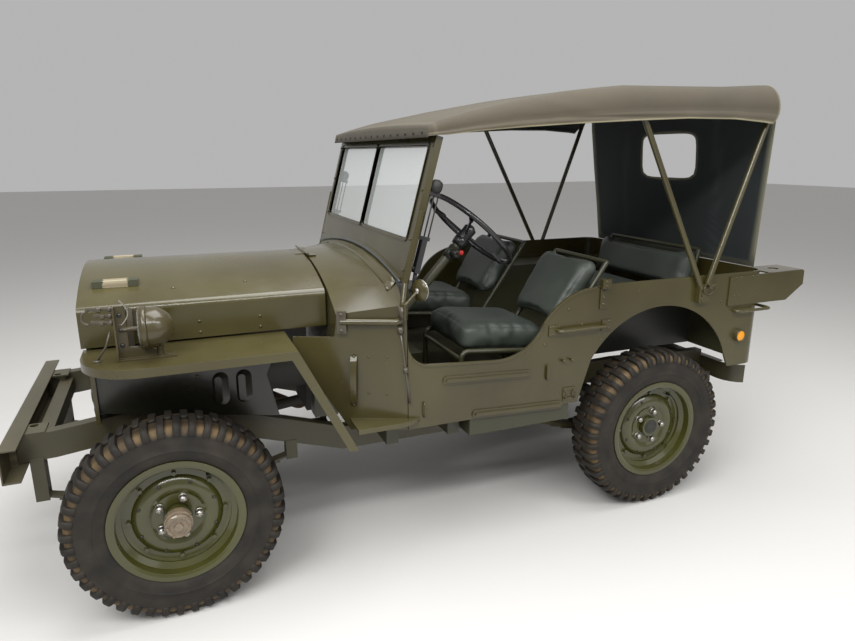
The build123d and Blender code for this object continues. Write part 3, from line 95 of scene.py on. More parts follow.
def emboss(tree, shader, height, strength, distance, edge=0.0):
    """Relief on the shader, laid over edges that are rounded by edge metres."""
    bump = tree.nodes.new("ShaderNodeBump")
    bump.inputs["Strength"].default_value = strength
    bump.inputs["Distance"].default_value = distance
    tree.links.new(height, bump.inputs["Height"])
    if edge:
        rounded = tree.nodes.new("ShaderNodeBevel")
        rounded.samples = 4
        rounded.inputs["Radius"].default_value = edge
        tree.links.new(rounded.outputs["Normal"], bump.inputs["Normal"])
    tree.links.new(bump.outputs["Normal"], shader.inputs["Normal"])


def axes(tree, vector=None):
    """The x, y and z of a vector, which is the point's own place if none is given."""
    split = tree.nodes.new("ShaderNodeSeparateXYZ")
    vector = vector or tree.nodes.new("ShaderNodeTexCoord").outputs["Object"]
    tree.links.new(vector, split.inputs["Vector"])
    return split.outputs


def surface_normal(tree):
    """The way the surface faces."""
    return tree.nodes.new("ShaderNodeNewGeometry").outputs["Normal"]


def facing_up(tree):
    """How far the surface faces the sky, from 0 on a wall to 1 on a floor."""
    return ramp(tree, axes(tree, surface_normal(tree))["Z"], 0.0, 1.0, 0.35, 1.0)


def edge_wear_and_highlight(tree, reach):
    """Where the surface turns over an edge within reach, from 0 to 1."""
    rounded = tree.nodes.new("ShaderNodeBevel")
    rounded.samples = 4
    rounded.inputs["Radius"].default_value = reach
    compare = tree.nodes.new("ShaderNodeVectorMath")
    compare.operation = "DOT_PRODUCT"
    tree.links.new(rounded.outputs["Normal"], compare.inputs[0])
    tree.links.new(surface_normal(tree), compare.inputs[1])
    return ramp(tree, compare.outputs["Value"], 1.0, 0.0, 0.75, 0.97)


def paint(name, colour, roughness, dust, wear_and_highlight=0.4, below=None):
    """Brushed paint: slow shade changes, fine grain, edges lightened as wear and as painted highlight, and
    dust on what faces up.
    """
    dust_colour = (0.235, 0.21, 0.14)
    finish, tree, shader, place = new_finish(name)
    lighter = tuple(c * 1.14 for c in colour)
    darker = tuple(c * 0.84 for c in (below or colour))
    shade = tint(tree, ramp(tree, mottle(tree, place, 2.4), 0.0, 1.0, 0.3, 0.7), darker, lighter)
    settled = mottle(tree, place, 9, 8)
    lying = calculate(tree, "MULTIPLY", facing_up(tree), ramp(tree, settled, 0.0, dust))
    shade = tint(tree, lying, shade, dust_colour)
    # Edges are painted lighter: partly rubbed wear, partly painted highlight where rolled edges catch the
    # light.
    rubbed_and_highlit = calculate(tree, "MULTIPLY", edge_wear_and_highlight(tree, 0.004), ramp(tree, settled, 0.0, wear_and_highlight, 0.45, 0.7))
    shade = tint(tree, rubbed_and_highlit, shade, tuple(c * 1.9 for c in colour))
    tree.links.new(shade, shader.inputs["Base Color"])
    tree.links.new(ramp(tree, settled, roughness - 0.08, roughness + 0.12), shader.inputs["Roughness"])
    emboss(tree, shader, mottle(tree, place, 260, 3), 0.12, 0.001, 0.0015)
    return finish


def finish_nodes(finish, *names):
    """Give the named parts of the model their finish."""
    for name in names:
        nodes[name].material_slots[0].material = finish


finish_nodes(
    paint("chassis_paint", (0.045, 0.039, 0.019), 0.4, 0.3),
    "frame", "front_bumper", "rear_bumperettes", "leaf_springs", "front_axle", "rear_axle",
    "left_knuckle", "right_knuckle", "tie_rods", "steering_bell_crank", "drag_link", "pitman_arm",
    "shock_absorbers",
)

# Bumper filler and hood blocks: pine and ash battens, sawn, oiled and left bare.
# The hood blocks keep olive paint on their ends, and are worn to the wood where the windshield lands.


def timber(name, pale, dark, stretch):
    """Bare wood with rings stretched along the grain."""
    finish, tree, shader, place = new_finish(name)
    along = tree.nodes.new("ShaderNodeMapping")
    along.inputs["Scale"].default_value = stretch
    tree.links.new(place, along.inputs["Vector"])
    rings = tree.nodes.new("ShaderNodeTexWave")
    rings.wave_type = "RINGS"
    rings.rings_direction = "Y"
    rings.inputs["Scale"].default_value = 9
    rings.inputs["Distortion"].default_value = 5
    rings.inputs["Detail"].default_value = 3
    tree.links.new(along.outputs["Vector"], rings.inputs["Vector"])
    fibre = mottle(tree, along.outputs["Vector"], 60, 8)
    shade = tint(tree, rings.outputs["Fac"], pale, dark)
    shade = tint(tree, calculate(tree, "MULTIPLY", fibre, 0.35), shade, tuple(c * 0.5 for c in dark))
    tree.links.new(shade, shader.inputs["Base Color"])
    tree.links.new(ramp(tree, fibre, 0.55, 0.8), shader.inputs["Roughness"])
    emboss(tree, shader, fibre, 0.35, 0.002, 0.002)
    return finish


def paint_over(finish, amount, colour):
    """Lay another colour over a finish where the amount is 1."""
    tree = finish.node_tree
    base = tree.nodes["Principled BSDF"].inputs["Base Color"]
    tree.links.new(tint(tree, amount, base.links[0].from_socket, colour), base)


front_axle_y = -1.1685
block_middle_y = front_axle_y - 0.131
pale_timber = timber("pale_timber", (0.4, 0.35, 0.24), (0.22, 0.18, 0.11), (1, 0.12, 1))
tree = pale_timber.node_tree
place = tree.nodes.new("ShaderNodeTexCoord").outputs["Object"]
off_middle = calculate(tree, "ABSOLUTE", calculate(tree, "SUBTRACT", axes(tree)["Y"], block_middle_y), 0)
ragged = calculate(tree, "ADD", off_middle, ramp(tree, mottle(tree, place, 70), -0.012, 0.012))
paint_over(pale_timber, ramp(tree, ragged, 0.0, 1.0, 0.038, 0.041), (0.04, 0.042, 0.02))
finish_nodes(pale_timber, "hood_blocks")
oiled_timber = timber("oiled_timber", (0.12, 0.095, 0.05), (0.06, 0.045, 0.026), (0.08, 1, 1))
finish_nodes(oiled_timber, "bumper_filler_block")

# Driveline and exhaust: cast cases under an oily film, and a pipe that has rusted brown.
# The radiator is painted black, as its fins shed heat better than under olive.
cast_iron = paint("cast_iron", (0.05, 0.048, 0.042), 0.6, 0.6)
finish_nodes(cast_iron, "engine_and_gearbox", "propeller_shafts")
finish_nodes(paint("rusty_pipe", (0.085, 0.045, 0.025), 0.8, 0.5, 0.6, (0.045, 0.03, 0.02)), "exhaust")
finish_nodes(paint("radiator_black", (0.016, 0.016, 0.015), 0.55, 0.3, 0.2), "radiator")

# Tyres: narrow cross-ply tyres with bars moulded across both shoulders, turn and turn about.
# The rubber has gone grey-brown, with a raised line round the sidewall and clay caked between the bars.


def attribute(tree, name):
    """A number that was written on the mesh's corners."""
    source = tree.nodes.new("ShaderNodeAttribute")
    source.attribute_name = name
    return source.outputs["Fac"]


rubber, tree, shader, place = new_finish("tyre_rubber")
smudge = mottle(tree, place, 14, 9)
tone = tint(tree, ramp(tree, smudge, 0.0, 1.0, 0.35, 0.72), (0.01, 0.0085, 0.0065), (0.026, 0.0205, 0.0145))
caked = calculate(tree, "MULTIPLY", attribute(tree, "groove"), ramp(tree, smudge, 0.35, 1.0, 0.3, 0.6))
tree.links.new(tint(tree, caked, tone, (0.13, 0.085, 0.038)), shader.inputs["Base Color"])
shader.inputs["Roughness"].default_value = 0.7
shader.inputs["Specular IOR Level"].default_value = 0.35
emboss(tree, shader, mottle(tree, place, 180, 2), 0.25, 0.002)

tyre_radius = 0.364
bar_count = 44
carcass = (
    (-0.056, 0.2066), (-0.0600, 0.2230), (-0.0670, 0.2300), (-0.0735, 0.2460), (-0.0772, 0.2620),
    (-0.0778, 0.2640), (-0.0796, 0.2650), (-0.0794, 0.2672), (-0.0780, 0.2690), (-0.0800, 0.2860),
    (-0.0790, 0.3050), (-0.0776, 0.3150), (-0.0786, 0.3168), (-0.0772, 0.3190), (-0.0735, 0.3330),
    (-0.0640, 0.3450), (-0.0400, 0.3505), (0.0, 0.3520),
)
bar = (
    (-0.008, 0.3500), (-0.004, 0.3628), (0.030, 0.3634), (0.058, 0.3610), (0.0735, 0.3540),
    (0.0806, 0.3400), (0.0812, 0.3220), (0.0780, 0.3160), (0.0700, 0.3200), (0.0600, 0.3440),
)
bar_half_width = 0.0128
bar_taper = 0.86
# Clay lies between these radii, from the top of the sidewall to the foot of the bars.
clay_foot, clay_top = 0.322, 0.3525
sides = (1, -1)


def once(items):
    """The items in their order, each of them once."""
    return list(dict.fromkeys(items))


def fresh_points(grown):
    """The points that an extrusion made."""
    return [item for item in grown["geom"] if isinstance(item, bmesh.types.BMVert)]


def make_tyre():
    """One tyre round the X axis: a spun carcass and two rings of shoulder bars."""
    bm = bmesh.new()
    groove = bm.verts.layers.float.new("groove")
    outline = [bm.verts.new((x, 0, r)) for x, r in carcass]
    outline += [bm.verts.new((-x, 0, r)) for x, r in reversed(carcass[:-1])]
    rings = [bm.edges.new(pair) for pair in zip(outline, outline[1:])]
    whole_turn = {"cent": (0, 0, 0), "axis": (1, 0, 0), "angle": 2 * math.pi}
    bmesh.ops.spin(bm, geom=outline + rings, steps=3 * bar_count, use_merge=True, **whole_turn)
    bmesh.ops.remove_doubles(bm, verts=bm.verts, dist=1e-5)
    for v in bm.verts:
        height = math.hypot(v.co.y, v.co.z)
        above_wall = min(1.0, max(0.0, (height - clay_foot) / 0.012))
        v[groove] = above_wall * min(1.0, max(0.25, (clay_top - height) / 0.006))
    for side in sides:
        ring = [bm.verts.new((side * x, -bar_half_width, r)) for x, r in bar]
        grown = bmesh.ops.extrude_face_region(bm, geom=[bm.faces.new(ring)])
        far = fresh_points(grown)
        bmesh.ops.translate(bm, verts=far, vec=(0, 2 * bar_half_width, 0))
        block = ring + far
        for v in block:
            if v.co.z > carcass[-1][1]:
                v.co.y *= bar_taper
        turn = math.pi / bar_count if side > 0 else 0
        bmesh.ops.rotate(bm, verts=block, cent=(0, 0, 0), matrix=Matrix.Rotation(turn, 3, "X"))
        faces = once(f for v in block for f in v.link_faces)
        bmesh.ops.recalc_face_normals(bm, faces=faces)
        edges = once(e for v in block for e in v.link_edges)
        bmesh.ops.spin(bm, geom=block + edges + faces, steps=bar_count, use_duplicate=True, **whole_turn)
        bmesh.ops.delete(bm, geom=block, context="VERTS")
    bmesh.ops.recalc_face_normals(bm, faces=bm.faces)
    for face in bm.faces:
        face.smooth = abs(face.normal.x) > 0.2 and len(face.verts) == 4
    mesh = bpy.data.meshes.new("tyre_shape")
    bm.to_mesh(mesh)
    bm.free()
    mesh.materials.append(rubber)
    return mesh


def add_piece(name, mesh, body="body"):
    """Put a mesh in the scene as a piece that rides on a body."""
    piece = bpy.data.objects.new(name, mesh)
    bpy.context.collection.objects.link(piece)
    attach(piece, body)
    return piece


tyre_shape = make_tyre()
half_track = 0.6225
rear_axle_y = front_axle_y + 2.032
wheel_spots = (
    ("front_left", half_track, front_axle_y), ("front_right", -half_track, front_axle_y),
    ("rear_left", half_track, rear_axle_y), ("rear_right", -half_track, rear_axle_y),
)
spare_spot = Matrix.Translation((-0.310, 1.5695, 0.830)) @ Matrix.Rotation(math.pi / 2, 4, "Z")
tyre_spots = [("spare", spare_spot, "body")]
for where, x, y in wheel_spots:
    tyre_spots.append((where, Matrix.Translation((x, y, tyre_radius)), where + "_wheel"))
for where, spot, body in tyre_spots:
    shape = tyre_shape.copy()
    shape.transform(spot)
    tyre = add_piece(where + "_tyre_shape", shape, body)
    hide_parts(where + "_tyre")

# Wheels: two pressed halves held by a ring of eight nuts, on five bright wheel nuts.
# Only the front hubs carry the driving flange, bare cast iron that has rusted brown.
wheel_green = (0.046, 0.047, 0.007)
flange_radius, flange_proud = 0.052, 0.0485
no_flange = 2


def varnish(finish, weight, roughness):
    """A clear coat on top of a finish."""
    shader = finish.node_tree.nodes["Principled BSDF"]
    shader.inputs["Coat Weight"].default_value = weight
    shader.inputs["Coat Roughness"].default_value = roughness


def wheel_finish(name, axle_y, flange_x):
    """Glossy wheel paint; what stands out past flange_x near the axle is rusty iron."""
    finish = paint(name, wheel_green, 0.2, 0.04, 0.4, (0.042, 0.04, 0.008))
    tree = finish.node_tree
    place = tree.nodes.new("ShaderNodeTexCoord").outputs["Object"]
    x, y, z = axes(tree)
    aft = calculate(tree, "SUBTRACT", y, axle_y)
    high = calculate(tree, "SUBTRACT", z, tyre_radius)
    squares = [calculate(tree, "MULTIPLY", leg, leg) for leg in (aft, high)]
    radius = calculate(tree, "SQRT", calculate(tree, "ADD", *squares), 0)
    near = calculate(tree, "LESS_THAN", radius, flange_radius)
    proud = calculate(tree, "GREATER_THAN", calculate(tree, "ABSOLUTE", x, 0), flange_x)
    rust = tint(tree, mottle(tree, place, 55, 8), (0.07, 0.05, 0.032), (0.25, 0.19, 0.125))
    paint_over(finish, calculate(tree, "MULTIPLY", near, proud), rust)
    varnish(finish, 0.35, 0.08)
    return finish


for where, x, y in wheel_spots:
    flange_x = abs(x) + flange_proud if y == front_axle_y else no_flange
    finish_nodes(wheel_finish(where + "_wheel_paint", y, flange_x), where + "_wheel")
finish_nodes(paint("spare_wheel_paint", wheel_green, 0.34, 0.15), "spare_wheel")

# Wheel nuts: five domed nuts of bright steel on the disc, and eight small ones round the rim.
# The rim nuts are dark steel; the valve stem stands by one of them.


def two_tone(name, first, second, scale, roughness):
    """A finish in two mixed shades; roughness is one number, or low, high and the scale of its patches."""
    finish, tree, shader, place = new_finish(name)
    tree.links.new(tint(tree, mottle(tree, place, scale), first, second), shader.inputs["Base Color"])
    if isinstance(roughness, tuple):
        low, high, *patches = roughness
        tree.links.new(ramp(tree, mottle(tree, place, *patches), low, high), shader.inputs["Roughness"])
    else:
        shader.inputs["Roughness"].default_value = roughness
    return finish, tree, shader, place


bright_steel, tree, shader, place = two_tone(
    "bright_steel", (0.5, 0.49, 0.45), (0.3, 0.28, 0.24), 90, (0.22, 0.5, 140)
)
shader.inputs["Metallic"].default_value = 1
emboss(tree, shader, mottle(tree, place, 300), 0.1, 0.0005, 0.0008)
dark_steel = paint("dark_steel", (0.018, 0.018, 0.015), 0.38, 0.2, 0.8)
black_rubber = paint("black_rubber", (0.012, 0.012, 0.012), 0.6, 0.2, 0.2)


def add_mesh(name, bm, finish, body="body"):
    """Turn finished mesh code into a piece that rides on a body."""
    mesh = bpy.data.meshes.new(name)
    bm.to_mesh(mesh)
    bm.free()
    mesh.materials.append(finish)
    return add_piece(name, mesh, body)


def smooth_faces(faces):
    """Shade the faces as one curved surface."""
    for face in faces:
        face.smooth = True


def turned(bm, outline, centre, axis, steps=24):
    """Spin an outline of (distance along the axis, radius) round the axis, closed at both ends."""
    along = Vector(axis).normalized()
    side = along.orthogonal().normalized()
    ring = [bm.verts.new(centre + along * x + side * r) for x, r in outline]
    edges = [bm.edges.new(pair) for pair in zip(ring, ring[1:])]
    bmesh.ops.spin(
        bm, geom=ring + edges, cent=centre, axis=along, angle=2 * math.pi, steps=steps, use_merge=True
    )
    grown = dict.fromkeys(ring)
    stack = list(ring)
    while stack:
        v = stack.pop()
        for edge in v.link_edges:
            other = edge.other_vert(v)
            if other not in grown:
                grown[other] = None
                stack.append(other)
    bmesh.ops.remove_doubles(bm, verts=list(grown), dist=1e-6)
    faces = once(f for v in grown if v.is_valid for f in v.link_faces)
    bmesh.ops.recalc_face_normals(bm, faces=faces)
    smooth_faces(faces)


def hex_nut(bm, centre, axis, across, height, domed=True):
    """A hexagon nut on its seat, with a domed end or the stub of its bolt."""
    along = Vector(axis).normalized()
    turn = along.to_track_quat("Z", "Y").to_matrix().to_4x4()
    bmesh.ops.create_cone(
        bm, cap_ends=True, segments=6, radius1=across / 2, radius2=across * 0.47, depth=height,
        matrix=Matrix.Translation(centre + along * height / 2) @ turn,
    )
    dome = ((0, 0.4), (0.3, 0.3), (0.42, 0))
    stub = ((0, 0.26), (0.35, 0.26), (0.4, 0.2), (0.4, 0))
    end = [(height * rise, across * radius) for rise, radius in (dome if domed else stub)]
    turned(bm, end, centre + along * height, along, 10)


wheel_nut_circle, rim_nut_circle, valve_circle = 0.070, 0.131, 0.172
for where, x, y in wheel_spots:
    outward = Vector((math.copysign(1, x), 0, 0))
    middle = Vector((x, y, tyre_radius))
    bm = bmesh.new()
    for step in range(5):
        angle = math.radians(72 * step)
        spoke = Vector((0, math.cos(angle) * outward.x, math.sin(angle)))
        seat = middle + spoke * wheel_nut_circle
        turned(bm, ((0, 0.0152), (0.0035, 0.0152), (0.0045, 0.0135)), seat + outward * 0.0185, outward, 18)
        hex_nut(bm, seat + outward * 0.0225, outward, 0.026, 0.0135)
    add_mesh(where + "_wheel_nuts", bm, bright_steel, where + "_wheel")
    bm = bmesh.new()
    for step in range(8):
        angle = math.radians(45 * step + 22.5)
        spoke = Vector((0, math.cos(angle), math.sin(angle)))
        seat = middle + spoke * rim_nut_circle
        head = ((0, 0.0), (0.0, 0.006), (0.002, 0.004), (0.0028, 0))
        turned(bm, head, seat + outward * 0.0275, outward, 12)
    valve = middle + Vector((0, math.cos(0.9), math.sin(0.9))) * valve_circle
    stem = ((0, 0.006), (0.016, 0.005), (0.018, 0.0042), (0.03, 0.0042), (0.032, 0.0))
    turned(bm, stem, valve, outward, 14)
    # The rear wheels get a dark steel disc in the hub's hole: painted shade, standing in for the shaded
    # recess.
    if y != front_axle_y:
        hub_shade_disc = (
            (0.0382, 0.0), (0.0382, 0.033), (0.0405, 0.0325), (0.0405, 0.029), (0.0388, 0.028), (0.0388, 0.0)
        )
        turned(bm, hub_shade_disc, middle, outward, 28)
    add_mesh(where + "_rim_fittings", bm, dark_steel, where + "_wheel")

# Body: pressed steel tub, cowl, fenders, hood and grille in semi-matt olive paint.
# In patches the paint is browner, where years of mud have been wiped into it.
body_paint = paint("body_paint", (0.051, 0.044, 0.014), 0.22, 0.1, 0.3, (0.043, 0.034, 0.009))
varnish(body_paint, 0.15, 0.1)
inner_paint = paint("inner_paint", (0.034, 0.034, 0.016), 0.36, 0.25, 0.3)
finish_nodes(
    body_paint, "body_sides", "rear_panel", "left_tool_lid", "right_tool_lid", "cowl", "hood", "grille",
    "windshield_frame", "antenna_bracket", "top_bows", "side_mirror",
)
finish_nodes(inner_paint, "floor", "dashboard", "seat_frames", "control_levers", "steering_column")

# Painted shade: a near-black colour laid over the paint where the wheel arches lie in shade.
# It covers the fender aprons inboard, and the wheelhouses on their outer and lower faces.
apron_x = 0.43
fender_paint_with_shade = body_paint.copy()
fender_paint_with_shade.name = "fender_paint_and_painted_shade"
tree = fender_paint_with_shade.node_tree
# Inboard of apron_x the fender aprons are painted near-black: painted shade.
inboard = calculate(tree, "LESS_THAN", calculate(tree, "ABSOLUTE", axes(tree)["X"], 0), apron_x)
paint_over(fender_paint_with_shade, inboard, (0.014, 0.014, 0.009))
finish_nodes(fender_paint_with_shade, "front_fenders")
wheelhouse_paint_with_shade = inner_paint.copy()
wheelhouse_paint_with_shade.name = "wheelhouse_paint_and_painted_shade"
tree = wheelhouse_paint_with_shade.node_tree
# Faces turned outboard or down are painted near-black: painted shade in the wheel wells.
facing = axes(tree, surface_normal(tree))
outboard = calculate(tree, "GREATER_THAN", calculate(tree, "MULTIPLY", axes(tree)["X"], facing["X"]), 0.1)
under = calculate(tree, "LESS_THAN", facing["Z"], -0.2)
paint_over(wheelhouse_paint_with_shade, calculate(tree, "MAXIMUM", outboard, under), (0.012, 0.012, 0.009))
finish_nodes(wheelhouse_paint_with_shade, "wheelhouses")

# Rivets and bolts of the panels: round heads that were painted over with the body.
# They hold the grab handles, straps, bow brackets, hood blocks and fender stays.
body_side_x = 0.674


def at(x, y, z):
    """A place on the car: x to its left, y aft of the front axle, z up from the ground."""
    return Vector((x, y + front_axle_y, z))


def on_side(side, proud, y, z):
    """A place on a body side, standing that far proud of its sheet."""
    return at(side * (body_side_x + proud), y, z)


def cowl_out(side):
    """The way a cowl side faces."""
    return Vector((side * 0.92, -0.40, 0))


def rivet(bm, seat, out, radius=0.006):
    """One round head standing a third of its width off the panel."""
    head = ((0.25, 0.95), (0.55, 0.6), (0.7, 0))
    outline = ((-0.0008, radius), *((radius * rise, radius * width) for rise, width in head))
    turned(bm, outline, seat, out, 12)


bm = bmesh.new()
for side in sides:
    for y, z, radius in (
        (1.434, 0.828, 0.0065), (1.54, 0.968, 0.0065), (1.608, 0.898, 0.0065), (2.31, 1.0, 0.005),
        (2.36, 0.93, 0.005),
    ):
        rivet(bm, on_side(side, 0, y, z), (side, 0, 0), radius)
    for y in (1.455, 1.466, 1.739, 1.75):
        for z in (0.868, 0.9):
            rivet(bm, on_side(side, 0.0055, y, z), (side, 0, 0), 0.0046)
    for x, y, z in (
        (0.616, 0.708, 0.847), (0.643, 0.77, 0.848), (0.615, 0.705, 0.705), (0.642, 0.768, 0.701)
    ):
        rivet(bm, at(side * x, y, z), cowl_out(side), 0.005)
    for y, z in ((0.0, 0.84), (0.109, 0.786), (0.36, 0.84)):
        rivet(bm, at(side * 0.415, y, z), (side, 0, 0), 0.007)
for y in (2.43, 2.46, 2.53, 2.56):
    for z in (0.95, 1.035):
        rivet(bm, on_side(1, 0.006, y, z), (1, 0, 0), 0.005)
for x in (-0.6, -0.4, -0.13, 0.13, 0.4, 0.6):
    rivet(bm, at(x, 2.62, 1.03), (0, 1, 0), 0.005)
add_mesh("body_rivets", bm, body_paint)

bm = bmesh.new()
for side in sides:
    for y in (0.134, 0.3455):
        for z in (0.96, 1.0):
            rivet(bm, at(side * 0.446, y, z), (side, 0, 0), 0.006)
    for x, y, z in ((0.353, 0.058, 1.1088), (0.339, 0.312, 1.113)):
        rivet(bm, at(side * x, y, z), (side * 0.3, 0, 0.95), 0.0075)
add_mesh("hood_rivets", bm, body_paint, "hood")

# Hood catches: a sprung clip of worn steel on each side of the hood's nose.
# It hooks over a keeper on the fender apron, and lets the hood lift when it is let go.
# Its edges are painted much lighter: partly worn steel, partly painted highlight.
worn_and_highlit_iron = paint("worn_and_highlit_iron", (0.062, 0.053, 0.037), 0.3, 0.2, 1.0)


def shares(count, whole=1.0):
    """Even steps from 0 to the whole, count of them."""
    return [whole * k / count for k in range(count + 1)]


def heading(points, index):
    """The way a row of points runs at one of them."""
    return points[min(index + 1, len(points) - 1)] - points[max(index - 1, 0)]


def skinned(bm, rows):
    """Join rows of points, each a closed ring, into a bar with closed ends."""
    faces = [bm.faces.new(rows[0]), bm.faces.new(rows[-1])]
    for here, there in zip(rows, rows[1:]):
        for k in range(len(here)):
            faces.append(bm.faces.new((here[k], here[k - 1], there[k - 1], there[k])))
    bmesh.ops.recalc_face_normals(bm, faces=faces)
    return faces


def bent_strip(bm, points, across, width, thickness):
    """A flat strip that follows the points, width wide along across."""
    wide = Vector(across).normalized() * width / 2
    rows = []
    for index, point in enumerate(points):
        proud = heading(points, index).cross(wide).normalized() * thickness / 2
        corners = ((-wide, -proud), (wide, -proud), (wide, proud), (-wide, proud))
        rows.append([bm.verts.new(point + a + b) for a, b in corners])
    skinned(bm, rows)


def round_wire(bm, points, radius, segments=8):
    """A bent wire or thin tube through the points, closed at its ends."""
    rows = []
    side = heading(points, 0).normalized().orthogonal()
    turns = [2 * math.pi * k / segments for k in range(segments)]
    for index, point in enumerate(points):
        ahead = heading(points, index).normalized()
        side = (side - ahead * side.dot(ahead)).normalized()
        other = ahead.cross(side)
        ring = [(side * math.cos(turn) + other * math.sin(turn)) * radius for turn in turns]
        rows.append([bm.verts.new(point + out) for out in ring])
    smooth_faces(skinned(bm, rows))


bm = bmesh.new()
for side in sides:
    clip = []
    for t in shares(10):
        clip.append(at(side * (0.452 + 0.012 * math.sin(t * math.pi)), -0.088 - 0.004 * t, 1.07 - 0.15 * t))
    bent_strip(bm, clip, (0, 1, 0), 0.018, 0.002)
    for z in (1.05, 1.035):
        rivet(bm, at(side * 0.4535, -0.0885, z), (side, 0, 0), 0.004)
    round_wire(bm, [at(side * 0.456, -0.105, 0.93), at(side * 0.456, -0.07, 0.93)], 0.005)
add_mesh("hood_catches", bm, worn_and_highlit_iron, "hood")

# Small fittings on the body: hand straps of sprung steel, footman loops, bow brackets and handle plates.
# They are pressed steel, riveted on and brushed over with the body's olive.
bm = bmesh.new()
for side in sides:
    out = cowl_out(side)
    top, low = at(side * 0.594, 0.657, 0.85), at(side * 0.592, 0.653, 0.66)
    strap = [top.lerp(low, t) + out * (0.004 + 0.022 * math.sin(math.pi * t) ** 0.5) for t in shares(12)]
    bent_strip(bm, strap, (-out.y, out.x, 0), 0.024, 0.004)
    for end in (top, low):
        rivet(bm, end + out * 0.006, out, 0.006)
    loop = ((0.001, 0.66), (0.012, 0.655), (0.014, 0.63), (0.012, 0.605), (0.001, 0.6))
    round_wire(bm, [on_side(side, proud, 0.905, z) for proud, z in loop], 0.0035)
    loop = ((0.001, 0.742), (0.011, 0.736), (0.011, 0.684), (0.001, 0.678))
    bent_strip(bm, [on_side(side, proud, 1.45, z) for proud, z in loop], (0, 1, 0), 0.012, 0.003)
    for y in (1.54, 1.584):
        loop = ((0.001, 0.62), (0.013, 0.615), (0.013, 0.585), (0.001, 0.58))
        round_wire(bm, [on_side(side, proud, y, z) for proud, z in loop], 0.003)
    for z in (0.622, 0.578):
        bent_strip(bm, [on_side(side, 0.0025, y, z) for y in (1.532, 1.592)], (0, 0, 1), 0.014, 0.003)
    for y in (1.52, 1.56):
        hook = ((0.001, 0.752), (0.018, 0.752), (0.02, 0.746))
        round_wire(bm, [on_side(side, proud, y, z) for proud, z in hook], 0.005)
    bent_strip(bm, [on_side(side, 0.0275, 2.23, z) for z in (1.02, 0.965, 0.945)], (0, 1, 0), 0.034, 0.003)
    for y in (2.212, 2.248):
        for z in (0.96, 1.005):
            rivet(bm, on_side(side, 0.026, y, z), (side, 0, 0), 0.006)
    pin = on_side(side, 0.029, 2.246, 1.012)
    turned(bm, ((-0.01, 0.0), (-0.01, 0.008), (0.016, 0.008), (0.018, 0.0)), pin, (side, 0, 0), 14)
    for lift in sides:
        wing = ((0.011, 0, 0), (0.0125, 0.012, 0.01), (0.015, 0.026, 0.018))
        bent_strip(bm, [pin + Vector((side * x, lift * y, z)) for x, y, z in wing], (1, 0, 0), 0.012, 0.004)
    tie = [pin + Vector((side * 0.004, 0.03 * math.sin(t), 0.012 - 0.045 * (1 - math.cos(t)) / 2)) for t in
           shares(16, 2 * math.pi)]
    round_wire(bm, tie, 0.0028)
    for proud, ends, width, thickness in (
        (0.003, (1.06, 0.955), 0.034, 0.006), (0.012, (1.082, 1.044), 0.042, 0.022)
    ):
        bent_strip(bm, [on_side(side, proud, 1.705, z) for z in ends], (0, 1, 0), width, thickness)
    for proud, z, radius in (
        (0.023, 1.072, 0.0055), (0.023, 1.054, 0.0055), (0.006, 1.03, 0.0065), (0.006, 1.005, 0.0065),
        (0.006, 0.975, 0.0065),
    ):
        rivet(bm, on_side(side, proud, 1.705, z), (side, 0, 0), radius)
    for middle in (1.474, 1.731):
        plate = [on_side(side, 0.0028, middle + reach, 0.884) for reach in (-0.026, 0.026)]
        bent_strip(bm, plate, (0, 0, 1), 0.046, 0.0054)
add_mesh("body_fittings", bm, body_paint)

# Lamps: pressed bowls behind domed glass, each held by a brown-painted ring with a crimped edge.
# Headlights and markers sit behind the grille; red lenses face aft and amber ones sideways.


def lens_finish(name, colour, clear, pitch):
    """Moulded lens glass with fine upright flutes on its inside."""
    finish, tree, shader, place = two_tone(name, colour, tuple(c * 0.8 for c in colour), 30, 0.08)
    shader.inputs["Transmission Weight"].default_value = clear
    shader.inputs["IOR"].default_value = 1.45
    flutes = tree.nodes.new("ShaderNodeTexWave")
    flutes.bands_direction = "X"
    flutes.inputs["Scale"].default_value = pitch
    tree.links.new(place, flutes.inputs["Vector"])
    emboss(tree, shader, flutes.outputs["Fac"], 0.5, 0.002)
    return finish


lamp_bronze = paint("lamp_bronze", (0.05, 0.04, 0.017), 0.22, 0.08, 0.9)
finish_nodes(lamp_bronze, "lamps")
lamp_glass = lens_finish("lamp_glass", (0.8, 0.83, 0.8), 0.85, 28)
red_lens = lens_finish("red_lens", (0.32, 0.012, 0.01), 0.25, 40)
amber_lens = lens_finish("amber_lens", (0.9, 0.36, 0.02), 0.1, 40)
silvered, tree, shader, place = two_tone(
    "silvered_bowl", (0.8, 0.8, 0.78), (0.6, 0.6, 0.58), 20, (0.1, 0.25, 60)
)
shader.inputs["Metallic"].default_value = 1

